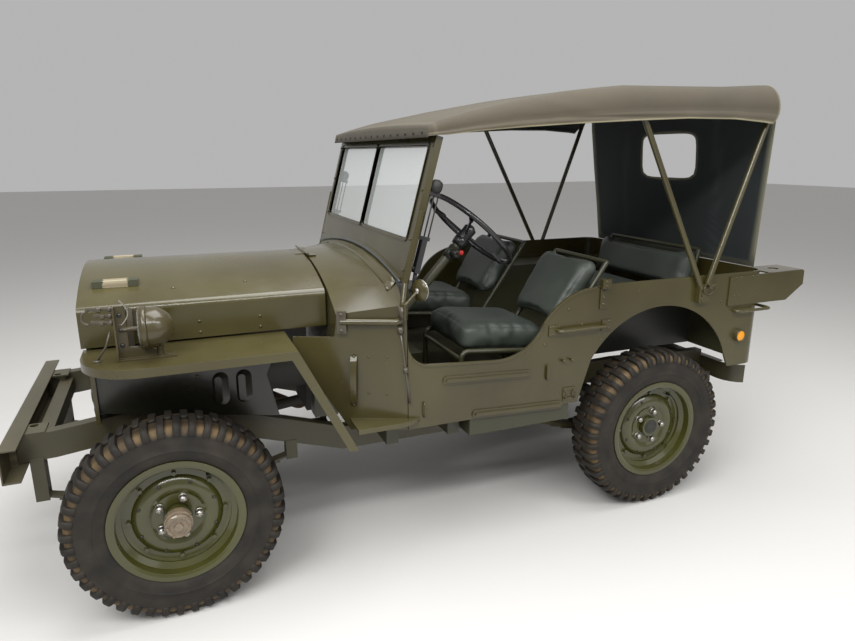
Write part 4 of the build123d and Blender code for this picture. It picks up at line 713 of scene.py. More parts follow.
# Columns: name, finish, x, y and z of the left lens, the way it faces, its radius and how far it domes.
lens_pairs = (
    ("headlight_lenses", lamp_glass, (0.32, -0.2305, 0.88), (0, -1, 0), 0.0795, 0.014),
    ("marker_lenses", lamp_glass, (0.32, -0.2445, 0.735), (0, -1, 0), 0.031, 0.009),
    ("rear_lenses", red_lens, (0.568, 2.6488, 0.7), (0, 1, 0), 0.035, 0.007),
    ("side_reflectors", amber_lens, (0.6898, 2.488, 0.758), (1, 0, 0), 0.0255, 0.004),
)
mirrors, lens_rings = bmesh.new(), bmesh.new()
for name, finish, (x, y, z), (right, aft, up), radius, dome in lens_pairs:
    bm = bmesh.new()
    arc = [(dome * math.cos(turn), radius * math.sin(turn)) for turn in shares(10, math.pi / 2)]
    band = radius * 0.075 + 0.0015
    ring = (
        (-0.001, radius + band), (0.003, radius + band * 1.15), (0.0055, radius + band * 0.6),
        (0.0045, radius - 0.001), (-0.0008, radius - 0.002), (-0.001, radius + band),
    )
    for side in sides:
        centre, facing = at(side * x, y, z), (side * right, aft, up)
        turned(bm, [(0.0, 0.0), *reversed(arc)], centre, facing, 36)
        turned(lens_rings, ring, centre, facing, 40)
        if name == "headlight_lenses":
            bowl = ((-0.0002, 0.0), (-0.0002, 0.0785), (0.002, 0.0788), (0.0006, 0.05), (0.0004, 0.0))
            turned(mirrors, bowl, centre, facing, 36)
    add_mesh(name, bm, finish)
add_mesh("lens_rings", lens_rings, lamp_bronze)
add_mesh("headlight_mirrors", mirrors, silvered)

# Driving lamp on the left fender: drum with a domed back, flat glass in front and a crimped band.
# Its fittings and a stay of bent wire are bolted to the bracket plate before it.
lamp_seat = at(0.6, -0.008, 1.032)
bm = bmesh.new()
band = (
    (0.0245, 0.0672), (0.0245, 0.0705), (0.0295, 0.0725), (0.0355, 0.0725), (0.0405, 0.0705),
    (0.0405, 0.0672), (0.0245, 0.0672),
)
turned(bm, band, lamp_seat, (0, -1, 0), 48)
add_mesh("driving_lamp_band", bm, lamp_bronze)
bm = bmesh.new()
flat_glass = ((0.0455, 0.0), (0.0455, 0.062), (0.0495, 0.061), (0.052, 0.045), (0.0535, 0.0))
turned(bm, flat_glass, lamp_seat, (0, -1, 0), 40)
add_mesh("driving_lamp_glass", bm, lamp_glass)
bm = bmesh.new()
for z in (0.05, 0.0, -0.05):
    hex_nut(bm, lamp_seat + Vector((0.003, -0.102, z)), (1, 0, 0), 0.014, 0.006)
add_mesh("driving_lamp_fittings", bm, dark_steel)
bm = bmesh.new()
plate_top = lamp_seat + Vector((-0.004, -0.12, 0.07))
for drop, run in ((0.0, 0.075), (-0.022, 0.055), (-0.045, 0.065)):
    outline = ((0.0, 0.0), (0.0, 0.009), (0.012, 0.009), (0.014, 0.006), (run, 0.006), (run + 0.002, 0.0))
    turned(bm, outline, plate_top + Vector((0, 0, drop)), (0, -1, 0.05 - drop), 14)
    hex_nut(bm, plate_top + Vector((0, -run * 0.45, drop)), (0, -1, 0.05 - drop), 0.019, 0.012, False)
loop = [(0.0, -0.07 - 0.02 * math.sin(t), -0.002 - 0.022 * (1 - math.cos(t))) for t in shares(10, math.pi)]
stay = ((0.0, -0.015, -0.075), (0.0, -0.03, -0.12), (-0.002, -0.062, -0.1685))
for wire in (loop, stay):
    round_wire(bm, [plate_top + Vector(p) for p in wire], 0.0035)
turned(bm, ((0.0, 0.0), (0.0, 0.012), (0.004, 0.012), (0.005, 0.0)), at(0.594, -0.19, 0.9323), (0, 0, 1), 16)
add_mesh("driving_lamp_couplings", bm, worn_and_highlit_iron)
bm = bmesh.new()
clip = [(0.004 + 0.004 * math.sin(t), 0.022 + 0.022 * math.sin(t), 0.026 - 0.078 * t / math.pi) for t in
        shares(10, math.pi)]
bent_strip(bm, [plate_top + Vector(p) for p in clip], (1, 0, 0), 0.016, 0.003)
round_wire(bm, [plate_top + Vector(p) for p in ((0.002, 0.004, -0.05), (0.004, 0.024, -0.053))], 0.004)
add_mesh("driving_lamp_clip", bm, bright_steel)

# Windshield: two flat panes in rubber strips, clamped by an inner sash in the outer frame.
# The frame leans back fifteen degrees, and a bent bar runs along its foot, over the cowl.
clear, tree, shader, place = two_tone(
    "clear_glass", (0.8, 0.87, 0.86), (0.88, 0.92, 0.9), 3, (0.02, 0.1, 6, 9)
)
shader.inputs["Alpha"].default_value = 0.2
shader.inputs["Specular IOR Level"].default_value = 0.7
finish_nodes(clear, "windshield_glass")
screen_lean = math.radians(15)
screen_up = Vector((0, math.sin(screen_lean), math.cos(screen_lean)))
screen_out = Vector((0, -math.cos(screen_lean), math.sin(screen_lean)))
screen_foot = at(0, 0.828, 1.124)
pane_middle_x, pane_middle_up = 0.301, 0.331
pane_half_width, pane_half_height, pane_corner = 0.29, 0.171, 0.014


def on_screen(across, up, out):
    """A place on the windshield: across from the middle, up the slope, out from its front face."""
    return screen_foot + Vector((across, 0, 0)) + screen_up * up + screen_out * out


def pane_frame(bm, side, grow, width, out, thick):
    """A flat rounded frame of that width round one pane, grow metres outside the pane's edge."""
    half_width, half_height, corner = pane_half_width + grow, pane_half_height + grow, pane_corner + grow
    outline = []
    for quarter, (right, up) in enumerate(((1, 1), (-1, 1), (-1, -1), (1, -1))):
        for turn in shares(5, 90):
            angle = math.radians(90 * quarter + turn)
            outline.append((
                side * pane_middle_x + right * (half_width - corner) + corner * math.cos(angle),
                pane_middle_up + up * (half_height - corner) + corner * math.sin(angle),
            ))
    face = bm.faces.new([bm.verts.new(on_screen(a, u, out)) for a, u in outline])
    inner = bmesh.ops.inset_region(bm, faces=[face], thickness=width, use_boundary=True, use_even_offset=True)
    bmesh.ops.delete(bm, geom=[face], context="FACES")
    grown = bmesh.ops.extrude_face_region(bm, geom=inner["faces"])
    bmesh.ops.translate(bm, verts=fresh_points(grown), vec=screen_out * thick)


bm = bmesh.new()
for side in sides:
    for width, out in ((0.006, -0.0095), (0.005, -0.0275)):
        pane_frame(bm, side, 0.0, width, out, 0.0115)
bmesh.ops.recalc_face_normals(bm, faces=bm.faces)
grey_rubber = paint("grey_rubber", (0.036, 0.044, 0.047), 0.3, 0.1, 0.3)
add_mesh("windshield_strips", bm, grey_rubber)
bm = bmesh.new()
for side in sides:
    pane_frame(bm, side, 0.014, 0.011, 0.0002, 0.0035)
bmesh.ops.recalc_face_normals(bm, faces=bm.faces)
bmesh.ops.bevel(
    bm, geom=bm.edges[:], offset=0.001, offset_type="OFFSET", affect="EDGES", segments=2, profile=0.5,
    material=-1,
)
foot_bar = []
for share in shares(10, 2):
    foot_bar.append(on_screen(0.628 * (share - 1), 0.012 + 0.064 * (1 - (share - 1) ** 2), 0.002))
bent_strip(bm, foot_bar, screen_up, 0.012, 0.006)
add_mesh("windshield_sashes", bm, body_paint)

# Windshield foot: the cowl's rear edge is turned up in a lip, and a round rubber seal lies on it.
# The frame's lower edge is cut to an arch that follows the cowl.
# Columns: distance from the middle, height of the cowl's rear edge there.
cowl_edge = ((0.0, 1.1746), (0.15, 1.1703), (0.3, 1.157), (0.45, 1.1345), (0.55, 1.115), (0.6, 1.0912))
lip_thickness = 0.002


def foot_arch(x):
    """How far up the windshield its lower edge is cut, at x."""
    return 0.0658 * (1 - (x / 0.64) ** 2)


bm = bmesh.new()
rows = []
for x, z in [(-x, z) for x, z in reversed(cowl_edge[1:])] + list(cowl_edge):
    meet, edge = on_screen(x, foot_arch(x) - 0.003, 0.003), at(x, 0.802, z + 0.0025)
    lip = (meet, meet.lerp(edge, 0.5) + Vector((0, 0, 0.001)), edge, at(x, 0.786, z + 0.0015))
    rows.append([bm.verts.new(p) for p in lip])
for here, there in zip(rows, rows[1:]):
    for k in range(3):
        bm.faces.new((here[k], here[k + 1], there[k + 1], there[k]))
bmesh.ops.recalc_face_normals(bm, faces=bm.faces)
smooth_faces(bm.faces)
bmesh.ops.solidify(bm, geom=bm.faces[:], thickness=lip_thickness)
add_mesh("cowl_rear_lip", bm, body_paint)
bm = bmesh.new()
seal = [on_screen(x, foot_arch(x) + 0.001, 0.003) for x in (run - 0.636 for run in shares(60, 1.272))]
round_wire(bm, seal, 0.0055, 10)
add_mesh("windshield_foot_seal", bm, grey_rubber)

# Windshield fittings: slotted adjusters with knobs inside, arm plates on the cowl, clamp rods at the sides.
# The adjusters are black, and the clamps are plated steel that has worn grey.
bm = bmesh.new()
for side in sides:
    rod_x = side * 0.634
    for depth in (-0.032, -0.049, -0.066):
        round_wire(bm, [on_screen(rod_x, up, depth) for up in (0.17, 0.34)], 0.003)
    for up in (0.175, 0.338):
        bent_strip(bm, [on_screen(rod_x, up, depth) for depth in (-0.027, -0.071)], screen_up, 0.014, 0.016)
    bent_strip(bm, [on_screen(rod_x, up, -0.05) for up in (0.045, 0.17)], (1, 0, 0), 0.032, 0.02)
    for up in (0.06, 0.34):
        round_wire(bm, [on_screen(rod_x, up, depth) for depth in (-0.0262, -0.05)], 0.007)
    knob = on_screen(rod_x, 0.365, -0.034)
    knob_outline = (
        (-0.004, 0.0), (-0.004, 0.016), (0.004, 0.024), (0.02, 0.026), (0.032, 0.02), (0.036, 0.0)
    )
    turned(bm, knob_outline, knob, -screen_out, 24)
    round_wire(bm, [on_screen(rod_x, 0.362, -0.0262), knob], 0.008)
    handle = ((0.045, -0.05), (0.02, -0.052), (0.0, -0.056), (-0.02, -0.052), (-0.028, -0.045))
    round_wire(bm, [on_screen(rod_x, up, depth) for up, depth in handle], 0.008)
add_mesh("windshield_adjusters", bm, black_rubber)


def sleeve(bm, half, bore, radius, centre, axis, steps):
    """A short tube round a rod, half its length either side of its centre."""
    outline = ((-half, bore), (-half, radius), (half, radius), (half, bore), (-half, bore))
    turned(bm, outline, centre, axis, steps)


arm_plates, clamps = bmesh.new(), bmesh.new()
for side in sides:
    out = cowl_out(side)
    plate_middle = at(side * 0.586, 0.617, 0.984)
    plate = [plate_middle + Vector((0, 0, up)) + out * 0.006 for up in (0.042, -0.042)]
    bent_strip(arm_plates, plate, (-out.y, out.x, 0), 0.034, 0.01)
    for up in (0.03, -0.03):
        hex_nut(arm_plates, plate_middle + Vector((0, 0, up)) + out * 0.011, out, 0.014, 0.006)
    sleeve(clamps, 0.024, 0.0125, 0.017, at(side * 0.6792, 0.822, 1.02), (0, 0, 1), 20)
    rod = ((0.6765, 0.812, 0.955), (0.681, 0.822, 0.86), (0.683, 0.836, 0.74), (0.6795, 0.846, 0.665))
    round_wire(clamps, [at(side * x, y, z) for x, y, z in rod], 0.0048)
    sleeve(clamps, 0.012, 0.006, 0.0115, at(side * 0.6765, 0.812, 0.955), (0, 0.1, -1), 14)
    sleeve(clamps, 0.01, 0.005, 0.009, at(side * 0.682, 0.829, 0.8), (0, 0.1, -1), 14)
    for up in (0.045, 0.16, 0.34, 0.5):
        hex_nut(clamps, on_screen(side * 0.6325, up, 0.0002), screen_out, 0.009, 0.0035)
add_mesh("windshield_arm_plates", arm_plates, worn_and_highlit_iron)
add_mesh("windshield_clamps", clamps, worn_and_highlit_iron)

# Steering wheel: black moulded rim on three steel rods, with a domed button at the hub.
# A red knob on the column's left works the turn lamps.
moulded_black, tree, shader, place = two_tone(
    "moulded_black", (0.012, 0.012, 0.013), (0.022, 0.022, 0.022), 12, (0.16, 0.34, 40)
)
emboss(tree, shader, mottle(tree, place, 90), 0.06, 0.001, 0.001)
finish_nodes(moulded_black, "steering_wheel")
hub = at(0.34, 1.25, 1.268)
column_up = Vector((0, math.cos(math.radians(47)), math.sin(math.radians(47))))
bm = bmesh.new()
boss = ((0, 0.0285), (0.012, 0.0285), (0.016, 0.024), (0.018, 0.0))
turned(bm, boss, hub - column_up * 0.0085, column_up, 28)
button = ((0.0, 0.019), (0.004, 0.0175), (0.008, 0.011), (0.01, 0.0))
turned(bm, button, hub + column_up * 0.0085, column_up, 28)
shroud = ((-0.09, 0.0), (-0.09, 0.027), (-0.07, 0.031), (-0.055, 0.031), (-0.053, 0.0285), (-0.053, 0.0))
turned(bm, shroud, hub, column_up, 28)
rightward = Vector((1, 0, 0))
for turn in (90, 210, 330):
    reach = math.radians(turn)
    spoke = rightward * math.cos(reach) + column_up.cross(rightward) * math.sin(reach)
    root = ((0.15, 0.0062), (0.16, 0.009), (0.2, 0.011), (0.214, 0.0112))
    turned(bm, root, hub - column_up * 0.006, spoke, 14)
add_mesh("steering_wheel_hub", bm, moulded_black, "steering_wheel")
bm = bmesh.new()
switch = hub - column_up * 0.13
sleeve(bm, 0.03, 0.0205, 0.024, switch, column_up, 24)
switch_box = ((0.018, 0.0), (0.018, 0.02), (0.052, 0.017), (0.055, 0.012), (0.055, 0.0))
turned(bm, switch_box, switch, (1, 0.15, 0), 20)
round_wire(bm, [switch + Vector((0.05, 0, 0)), switch + Vector((0.075, 0.01, 0.01))], 0.003)
add_mesh("turn_switch", bm, dark_steel)
bm = bmesh.new()
bulb = ((0.0, 0.0), (0.001, 0.0075), (0.008, 0.0115), (0.015, 0.0095), (0.018, 0.0))
turned(bm, bulb, switch + Vector((0.074, 0.0096, 0.0096)), (1, 0.15, 0.15), 20)
signal_red = two_tone("signal_red", (0.5, 0.02, 0.015), (0.3, 0.01, 0.01), 60, (0.2, 0.4, 80))[0]
add_mesh("turn_switch_knob", bm, signal_red)

# Instruments: one large and four small round dials in the middle of the dashboard, plain ticks only.
# Knobs stand either side of them, and a grab bar is bolted along the passenger's side.
dial_face = two_tone("dial_face", (0.022, 0.022, 0.02), (0.04, 0.04, 0.035), 40, 0.5)[0]
dial_mark = two_tone("dial_mark", (0.62, 0.6, 0.5), (0.5, 0.48, 0.4), 50, 0.6)[0]
dash_face = 0.80
# Columns: x, z, radius.
dials = (
    (0.0, 1.01, 0.05), (-0.1, 1.055, 0.028), (0.1, 1.055, 0.028), (-0.1, 0.975, 0.028), (0.1, 0.975, 0.028)
)
bezels, discs, marks = bmesh.new(), bmesh.new(), bmesh.new()
for x, z, radius in dials:
    seat = at(x, dash_face, z)
    bezel = (
        (0.0, radius - 0.002), (0.0, radius + 0.005), (0.005, radius + 0.0055), (0.0085, radius + 0.002),
        (0.008, radius - 0.003), (0.003, radius - 0.004), (0.0, radius - 0.002),
    )
    turned(bezels, bezel, seat, (0, 1, 0), 32)
    disc = ((0.0, 0.0), (0.0, radius - 0.0025), (0.0015, radius - 0.0025), (0.0018, 0.0))
    turned(discs, disc, seat, (0, 1, 0), 32)
    for step in range(9):
        angle = math.radians(-30 + 30 * step)
        right, up = math.cos(angle), math.sin(angle)
        tick = [seat + Vector((right * radius * out, 0.0022, up * radius * out)) for out in (0.7, 0.86)]
        bent_strip(marks, tick, (up, 0, -right), radius * 0.045, 0.0008)
    tip = seat + Vector((-radius * 0.55, 0.0028, radius * 0.35))
    bent_strip(marks, [seat + Vector((0, 0.0028, 0)), tip], (0.54, 0, 0.84), radius * 0.06, 0.0008)
for x, z in ((0.19, 1.03), (0.235, 1.03), (0.19, 0.98), (-0.2, 1.03), (-0.2, 0.98)):
    knob_outline = (
        (0.0, 0.0), (0.0, 0.012), (0.003, 0.012), (0.004, 0.005), (0.018, 0.005), (0.02, 0.011), (0.03, 0.01),
        (0.032, 0.0),
    )
    turned(bezels, knob_outline, at(x, dash_face, z), (0, 1, 0), 18)
grab_bar = ((-0.32, 0.0), (-0.32, 0.035), (-0.34, 0.045), (-0.54, 0.045), (-0.56, 0.035), (-0.56, 0.0))
round_wire(bezels, [at(x, dash_face + out, 1.03) for x, out in grab_bar], 0.008)
add_mesh("dial_bezels", bezels, dark_steel)
add_mesh("dial_faces", discs, dial_face)
add_mesh("dial_marks", marks, dial_mark)

# Lever knobs and pedal pads: moulded black rubber, pushed on to the three levers and the pedal plates.
# Each pad has raised ribs across it, where the sole of a boot presses.
bm = bmesh.new()
for x, y, z in ((0.02, 0.96, 1.02), (-0.06, 1.01, 0.94), (-0.11, 1.01, 0.94)):
    up = Vector((0, 0.18, 1)).normalized()
    ball = [(0.0192 * math.cos(turn), 0.0192 * math.sin(turn)) for turn in shares(8, math.radians(160))]
    turned(bm, [*ball, (-0.026, 0.011), (-0.026, 0.0085)], at(x, y, z), up, 20)
for x in (0.24, 0.44):
    for row in range(5):
        rib = ((-0.034, 0.0), (-0.034, 0.0028), (0.034, 0.0028), (0.034, 0.0))
        turned(bm, rib, at(x, 0.7685, 0.714 + 0.0135 * row), (1, 0, 0), 10)
add_mesh("lever_knobs_and_pedal_ribs", bm, black_rubber)

# Mirror: flat silvered glass in a pressed dish on the windshield arm.
# A bright rolled rim holds the glass, and a nut in the dish's back holds it to the arm.
bm = bmesh.new()
mirror_look = Vector((-0.42, 0.907, 0)).normalized()
mirror_seat = at(0.684, 0.882, 1.098) + mirror_look * 0.0082
turned(bm, ((0.0, 0.0), (0.0, 0.0365), (0.001, 0.036), (0.001, 0.0)), mirror_seat, mirror_look, 36)
add_mesh("mirror_glass", bm, silvered)
bm = bmesh.new()
rim = (
    (-0.0035, 0.0402), (-0.0035, 0.0412), (0.0012, 0.0415), (0.003, 0.0385), (0.0012, 0.0362),
    (-0.0035, 0.0402),
)
turned(bm, rim, mirror_seat, mirror_look, 40)
turned(bm, ((-0.0245, 0.0), (-0.0245, 0.009), (-0.019, 0.012), (-0.0165, 0.0)), mirror_seat, mirror_look, 20)
add_mesh("mirror_rim", bm, bright_steel)

# Seats: foam pads in dark olive vinyl, swelled against their covers, with a seam pressed in round them.
# Each pad is drawn from its side corners, swelled by cloth pressure, then creased along its seams.
vinyl, tree, shader, place = new_finish("seat_vinyl")
rub = mottle(tree, place, 5, 6)
worn = ramp(tree, rub, 0.0, 1.0, 0.35, 0.7)
tree.links.new(tint(tree, worn, (0.032, 0.04, 0.032), (0.056, 0.064, 0.052)), shader.inputs["Base Color"])
tree.links.new(ramp(tree, rub, 0.4, 0.6), shader.inputs["Roughness"])
grain = tree.nodes.new("ShaderNodeTexVoronoi")
grain.inputs["Scale"].default_value = 420
tree.links.new(place, grain.inputs["Vector"])
emboss(tree, shader, grain.outputs["Distance"], 0.25, 0.0008)
swell_limit = 0.024
swell_frames = 20
start_inset = 0.012


def middle_of(corners):
    """The place midway between (y, z) corners."""
    return Vector((0, sum(y for y, z in corners) / 4, sum(z for y, z in corners) / 4))


def pad_shape(name, width, corners):
    """A soft block across the car between four (y, z) side corners, pulled in before it swells."""
    bm = bmesh.new()
    outline = []
    for y, z in corners:
        corner = Vector((0, y, z))
        pull = (middle_of(corners) - corner).normalized()
        outline.append(bm.verts.new(at(start_inset - width / 2, *(corner + pull * start_inset * 1.3).yz)))
    grown = bmesh.ops.extrude_face_region(bm, geom=[bm.faces.new(outline)])
    bmesh.ops.translate(bm, verts=fresh_points(grown), vec=(width - 2 * start_inset, 0, 0))
    bmesh.ops.recalc_face_normals(bm, faces=bm.faces)
    short = [e for e in bm.edges if e.calc_length() < 0.16]
    upright = [e for e in short if abs(e.verts[0].co.x - e.verts[1].co.x) < 1e-6]
    bmesh.ops.bevel(
        bm, geom=upright, offset=0.045, offset_type="OFFSET", affect="EDGES", segments=6, profile=0.5,
        material=-1,
    )
    mesh = bpy.data.meshes.new(name)
    bm.to_mesh(mesh)
    bm.free()
    mesh.materials.append(vinyl)
    pad = bpy.data.objects.new(name, mesh)
    bpy.context.collection.objects.link(pad)
    return pad


def applied(pad):
    """Bake the pad's modifiers into its mesh."""
    solid = bpy.data.meshes.new_from_object(pad.evaluated_get(bpy.context.evaluated_depsgraph_get()))
    pad.modifiers.clear()
    pad.data = solid


def swell(pad):
    """Blow the cover up by cloth pressure, each point held within the swell limit."""
    skin = pad.modifiers.new("skin", "REMESH")
    skin.mode = "VOXEL"
    skin.voxel_size = 0.0065
    applied(pad)
    rest = [v.co.copy() for v in pad.data.vertices]
    cover = pad.modifiers.new("cover", "CLOTH")
    cover.settings.use_pressure = True
    cover.settings.uniform_pressure_force = 4
    cover.settings.effector_weights.gravity = 0
    cover.settings.quality = 4
    cover.point_cache.frame_start, cover.point_cache.frame_end = 1, swell_frames
    for step in range(swell_frames):
        bpy.context.scene.frame_set(step + 1)
    applied(pad)
    bpy.context.scene.frame_set(1)
    for v, start in zip(pad.data.vertices, rest):
        moved = v.co - start
        if moved.length > swell_limit:
            v.co = start + moved.normalized() * swell_limit
    bm = bmesh.new()
    bm.from_mesh(pad.data)
    for step in range(14):
        bmesh.ops.smooth_vert(
            bm, verts=bm.verts, factor=0.5, use_axis_x=True, use_axis_y=True, use_axis_z=True
        )
    bm.to_mesh(pad.data)
    bm.free()
    smooth = pad.modifiers.new("smooth", "SUBSURF")
    smooth.levels = smooth.render_levels = 1
    applied(pad)
    for face in pad.data.polygons:
        face.use_smooth = True


# Columns: name, x of each pad's middle, width, the (y, z) corners seen from the side.
seat_x = 0.35
seat_shapes = (
    ("front_seat_pad", (seat_x, -seat_x), 0.42, ((1.1, 0.812), (1.545, 0.77), (1.545, 0.85), (1.11, 0.896))),
    ("front_seat_back", (seat_x, -seat_x), 0.42, ((1.552, 0.846), (1.61, 0.85), (1.8, 1.13), (1.752, 1.156))),
    ("rear_seat_pad", (0,), 0.76, ((2.03, 0.862), (2.4, 0.83), (2.4, 0.9), (2.03, 0.94))),
    ("rear_seat_back", (0,), 0.76, ((2.41, 0.89), (2.462, 0.89), (2.52, 1.12), (2.474, 1.13))),
)
seam_below_face, seam_width, seam_depth = 0.019, 0.0042, 0.0032
for name, middles, width, corners in seat_shapes:
    pad = pad_shape(name, width, corners)
    swell(pad)
    front_corner = corners[2] if "pad" in name else corners[0]
    near, far = at(0, *front_corner), at(0, *corners[3])
    centre = at(*middle_of(corners))
    shown = (far - near).cross(rightward).normalized()
    if shown.dot(near - centre) < 0:
        shown = -shown
    seam = max((v.co - centre).dot(shown) for v in pad.data.vertices) - seam_below_face
    outward = [v.normal.copy() for v in pad.data.vertices]
    for v, normal in zip(pad.data.vertices, outward):
        depth = (v.co - centre).dot(shown)
        crease = sum(math.exp(-(((depth - line) / seam_width) ** 2)) for line in (seam, -seam))
        v.co -= normal * seam_depth * crease * (1 - abs(normal.dot(shown)))
    shape = pad.data
    bpy.data.objects.remove(pad)
    for x in middles:
        own = shape.copy()
        own.transform(Matrix.Translation((x, 0, 0)))
        label = name if len(middles) == 1 else ("left_" if x > 0 else "right_") + name
        piece = add_piece(label, own)
        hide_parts("seat_cushions")

# Canvas top: one sheet of grey-olive duck, pulled over two bows and pinned along the windshield.
# Its sides hang down as a short valance with a doubled, pale-stitched hem; its inside is painted dark, partly
# the duck's coating and partly painted shade.


def duck(name, outside, thread, hem):
    """Cotton duck on the sheet's own flat map: plain weave, faded patches, stitched hem lines."""
    finish, tree, shader, place = new_finish(name)
    flat = tree.nodes.new("ShaderNodeUVMap")
    flat.uv_map = "flat"
    weave = []
    for direction in ("X", "Y"):
        yarn = tree.nodes.new("ShaderNodeTexWave")
        yarn.bands_direction = direction
        yarn.inputs["Scale"].default_value = 190
        yarn.inputs["Distortion"].default_value = 1.2
        yarn.inputs["Detail"].default_value = 2
        tree.links.new(flat.outputs["UV"], yarn.inputs["Vector"])
        weave.append(yarn.outputs["Fac"])
    cloth = calculate(tree, "MULTIPLY", *weave)
    fade = mottle(tree, place, 3.2, 7)
    darker, faded = (tuple(c * share for c in outside) for share in (0.8, 1.12))
    shade = tint(tree, ramp(tree, fade, 0.0, 1.0, 0.3, 0.72), darker, faded)
    shade = tint(tree, calculate(tree, "MULTIPLY", cloth, 0.35), shade, thread)
    shade = tint(tree, calculate(tree, "MULTIPLY", attribute(tree, "hem"), 0.85), shade, hem)
    dashes = tree.nodes.new("ShaderNodeTexWave")
    dashes.inputs["Scale"].default_value = 26
    tree.links.new(flat.outputs["UV"], dashes.inputs["Vector"])
    stitches = ramp(tree, dashes.outputs["Fac"], 0.25, 1.0)
    sewn = calculate(tree, "MULTIPLY", attribute(tree, "stitch"), stitches)
    shade = tint(tree, calculate(tree, "MULTIPLY", sewn, 0.5), shade, tuple(c * 1.5 for c in thread))
    tree.links.new(shade, shader.inputs["Base Color"])
    tree.links.new(ramp(tree, fade, 0.8, 0.95), shader.inputs["Roughness"])
    shader.inputs["Sheen Weight"].default_value = 0.06
    shader.inputs["Sheen Roughness"].default_value = 0.5
    emboss(tree, shader, calculate(tree, "ADD", cloth, calculate(tree, "MULTIPLY", sewn, -2.0)), 0.35, 0.001)
    return finish


canvas_outside = duck("canvas_outside", (0.058, 0.047, 0.029), (0.084, 0.07, 0.045), (0.26, 0.235, 0.15))
# The inside colour is partly the duck's dark coating, partly painted shade.
canvas_inside_with_shade = duck("canvas_inside_with_shade", (0.02, 0.026, 0.026), (0.036, 0.044, 0.042), (0.2, 0.19, 0.13))
cloth_thickness = 0.0022


def flat_layers(bm):
    """The sheet's flat map, and its hem and stitch marks."""
    marks = bm.verts.layers.float
    return bm.loops.layers.uv.new("flat"), marks.new("hem"), marks.new("stitch")


def cloth_piece(name, bm):
    """A sheet of duck, olive on its face and painted dark on its back (partly coating, partly painted shade),
    with the cloth's thickness.
    """
    piece = add_mesh(name, bm, canvas_outside)
    piece.data.materials.append(canvas_inside_with_shade)
    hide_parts("canvas_top")
    cloth = piece.modifiers.new("cloth", "SOLIDIFY")
    cloth.thickness = cloth_thickness
    cloth.offset = -1
    cloth.material_offset = 1
    return piece


# Columns: y, z of the lower edge, z of the top at the shoulder, half width at the edge.
roof_stations = (
    (0.932, 1.640, 1.674, 0.664), (1.0, 1.643, 1.698, 0.669), (1.11, 1.656, 1.729, 0.678),
    (1.3, 1.672, 1.771, 0.692), (1.52, 1.687, 1.811, 0.704), (1.778, 1.702, 1.841, 0.715),
    (2.02, 1.714, 1.846, 0.717), (2.28, 1.716, 1.853, 0.719), (2.5, 1.706, 1.868, 0.721),
    (2.566, 1.7, 1.871, 0.7215),
)


def roof_at(y):
    """Lower edge, top and half width of the roof at y, read off between its stations."""
    if y <= roof_stations[0][0]:
        return roof_stations[0][1:]
    for near, far in zip(roof_stations, roof_stations[1:]):
        if y <= far[0] + 1e-9:
            t = (y - near[0]) / (far[0] - near[0])
            return tuple(a + (b - a) * t for a, b in zip(near[1:], far[1:]))
    return roof_stations[-1][1:]


valance_rows, shoulder_rows, crown_rows = 14, 10, 22
side_rows = valance_rows + shoulder_rows
half_rows = side_rows + crown_rows


def roof_section(y, row):
    """x and z on the roof's cross-section, row counted up the left side from the hem to the middle."""
    low, top, half = roof_at(y)
    drop = (top - low) * 0.75
    shoulder = half - 0.010
    if row <= valance_rows:
        t = row / valance_rows
        return half + (shoulder - half) * t + 0.006 * math.sin(math.pi * t), low + (top - drop - low) * t
    if row <= side_rows:
        turn = math.radians(90 * (row - valance_rows) / shoulder_rows)
        return shoulder - drop * (1 - math.cos(turn)), top - drop + drop * math.sin(turn)
    t = (row - side_rows) / crown_rows
    x = (shoulder - drop) * (1 - t)
    return x, top + 0.013 * (1 - (x / (shoulder - drop)) ** 2)


front_bow_y = 1.778


def slack_at(y):
    """How loose the roof lies at y: 0 over the windshield and both bows, 1 midway between."""
    start, span = (0.97, 0.8) if y < front_bow_y else (front_bow_y, 0.788)
    return max(0.0, math.sin(math.pi * (y - start) / span))


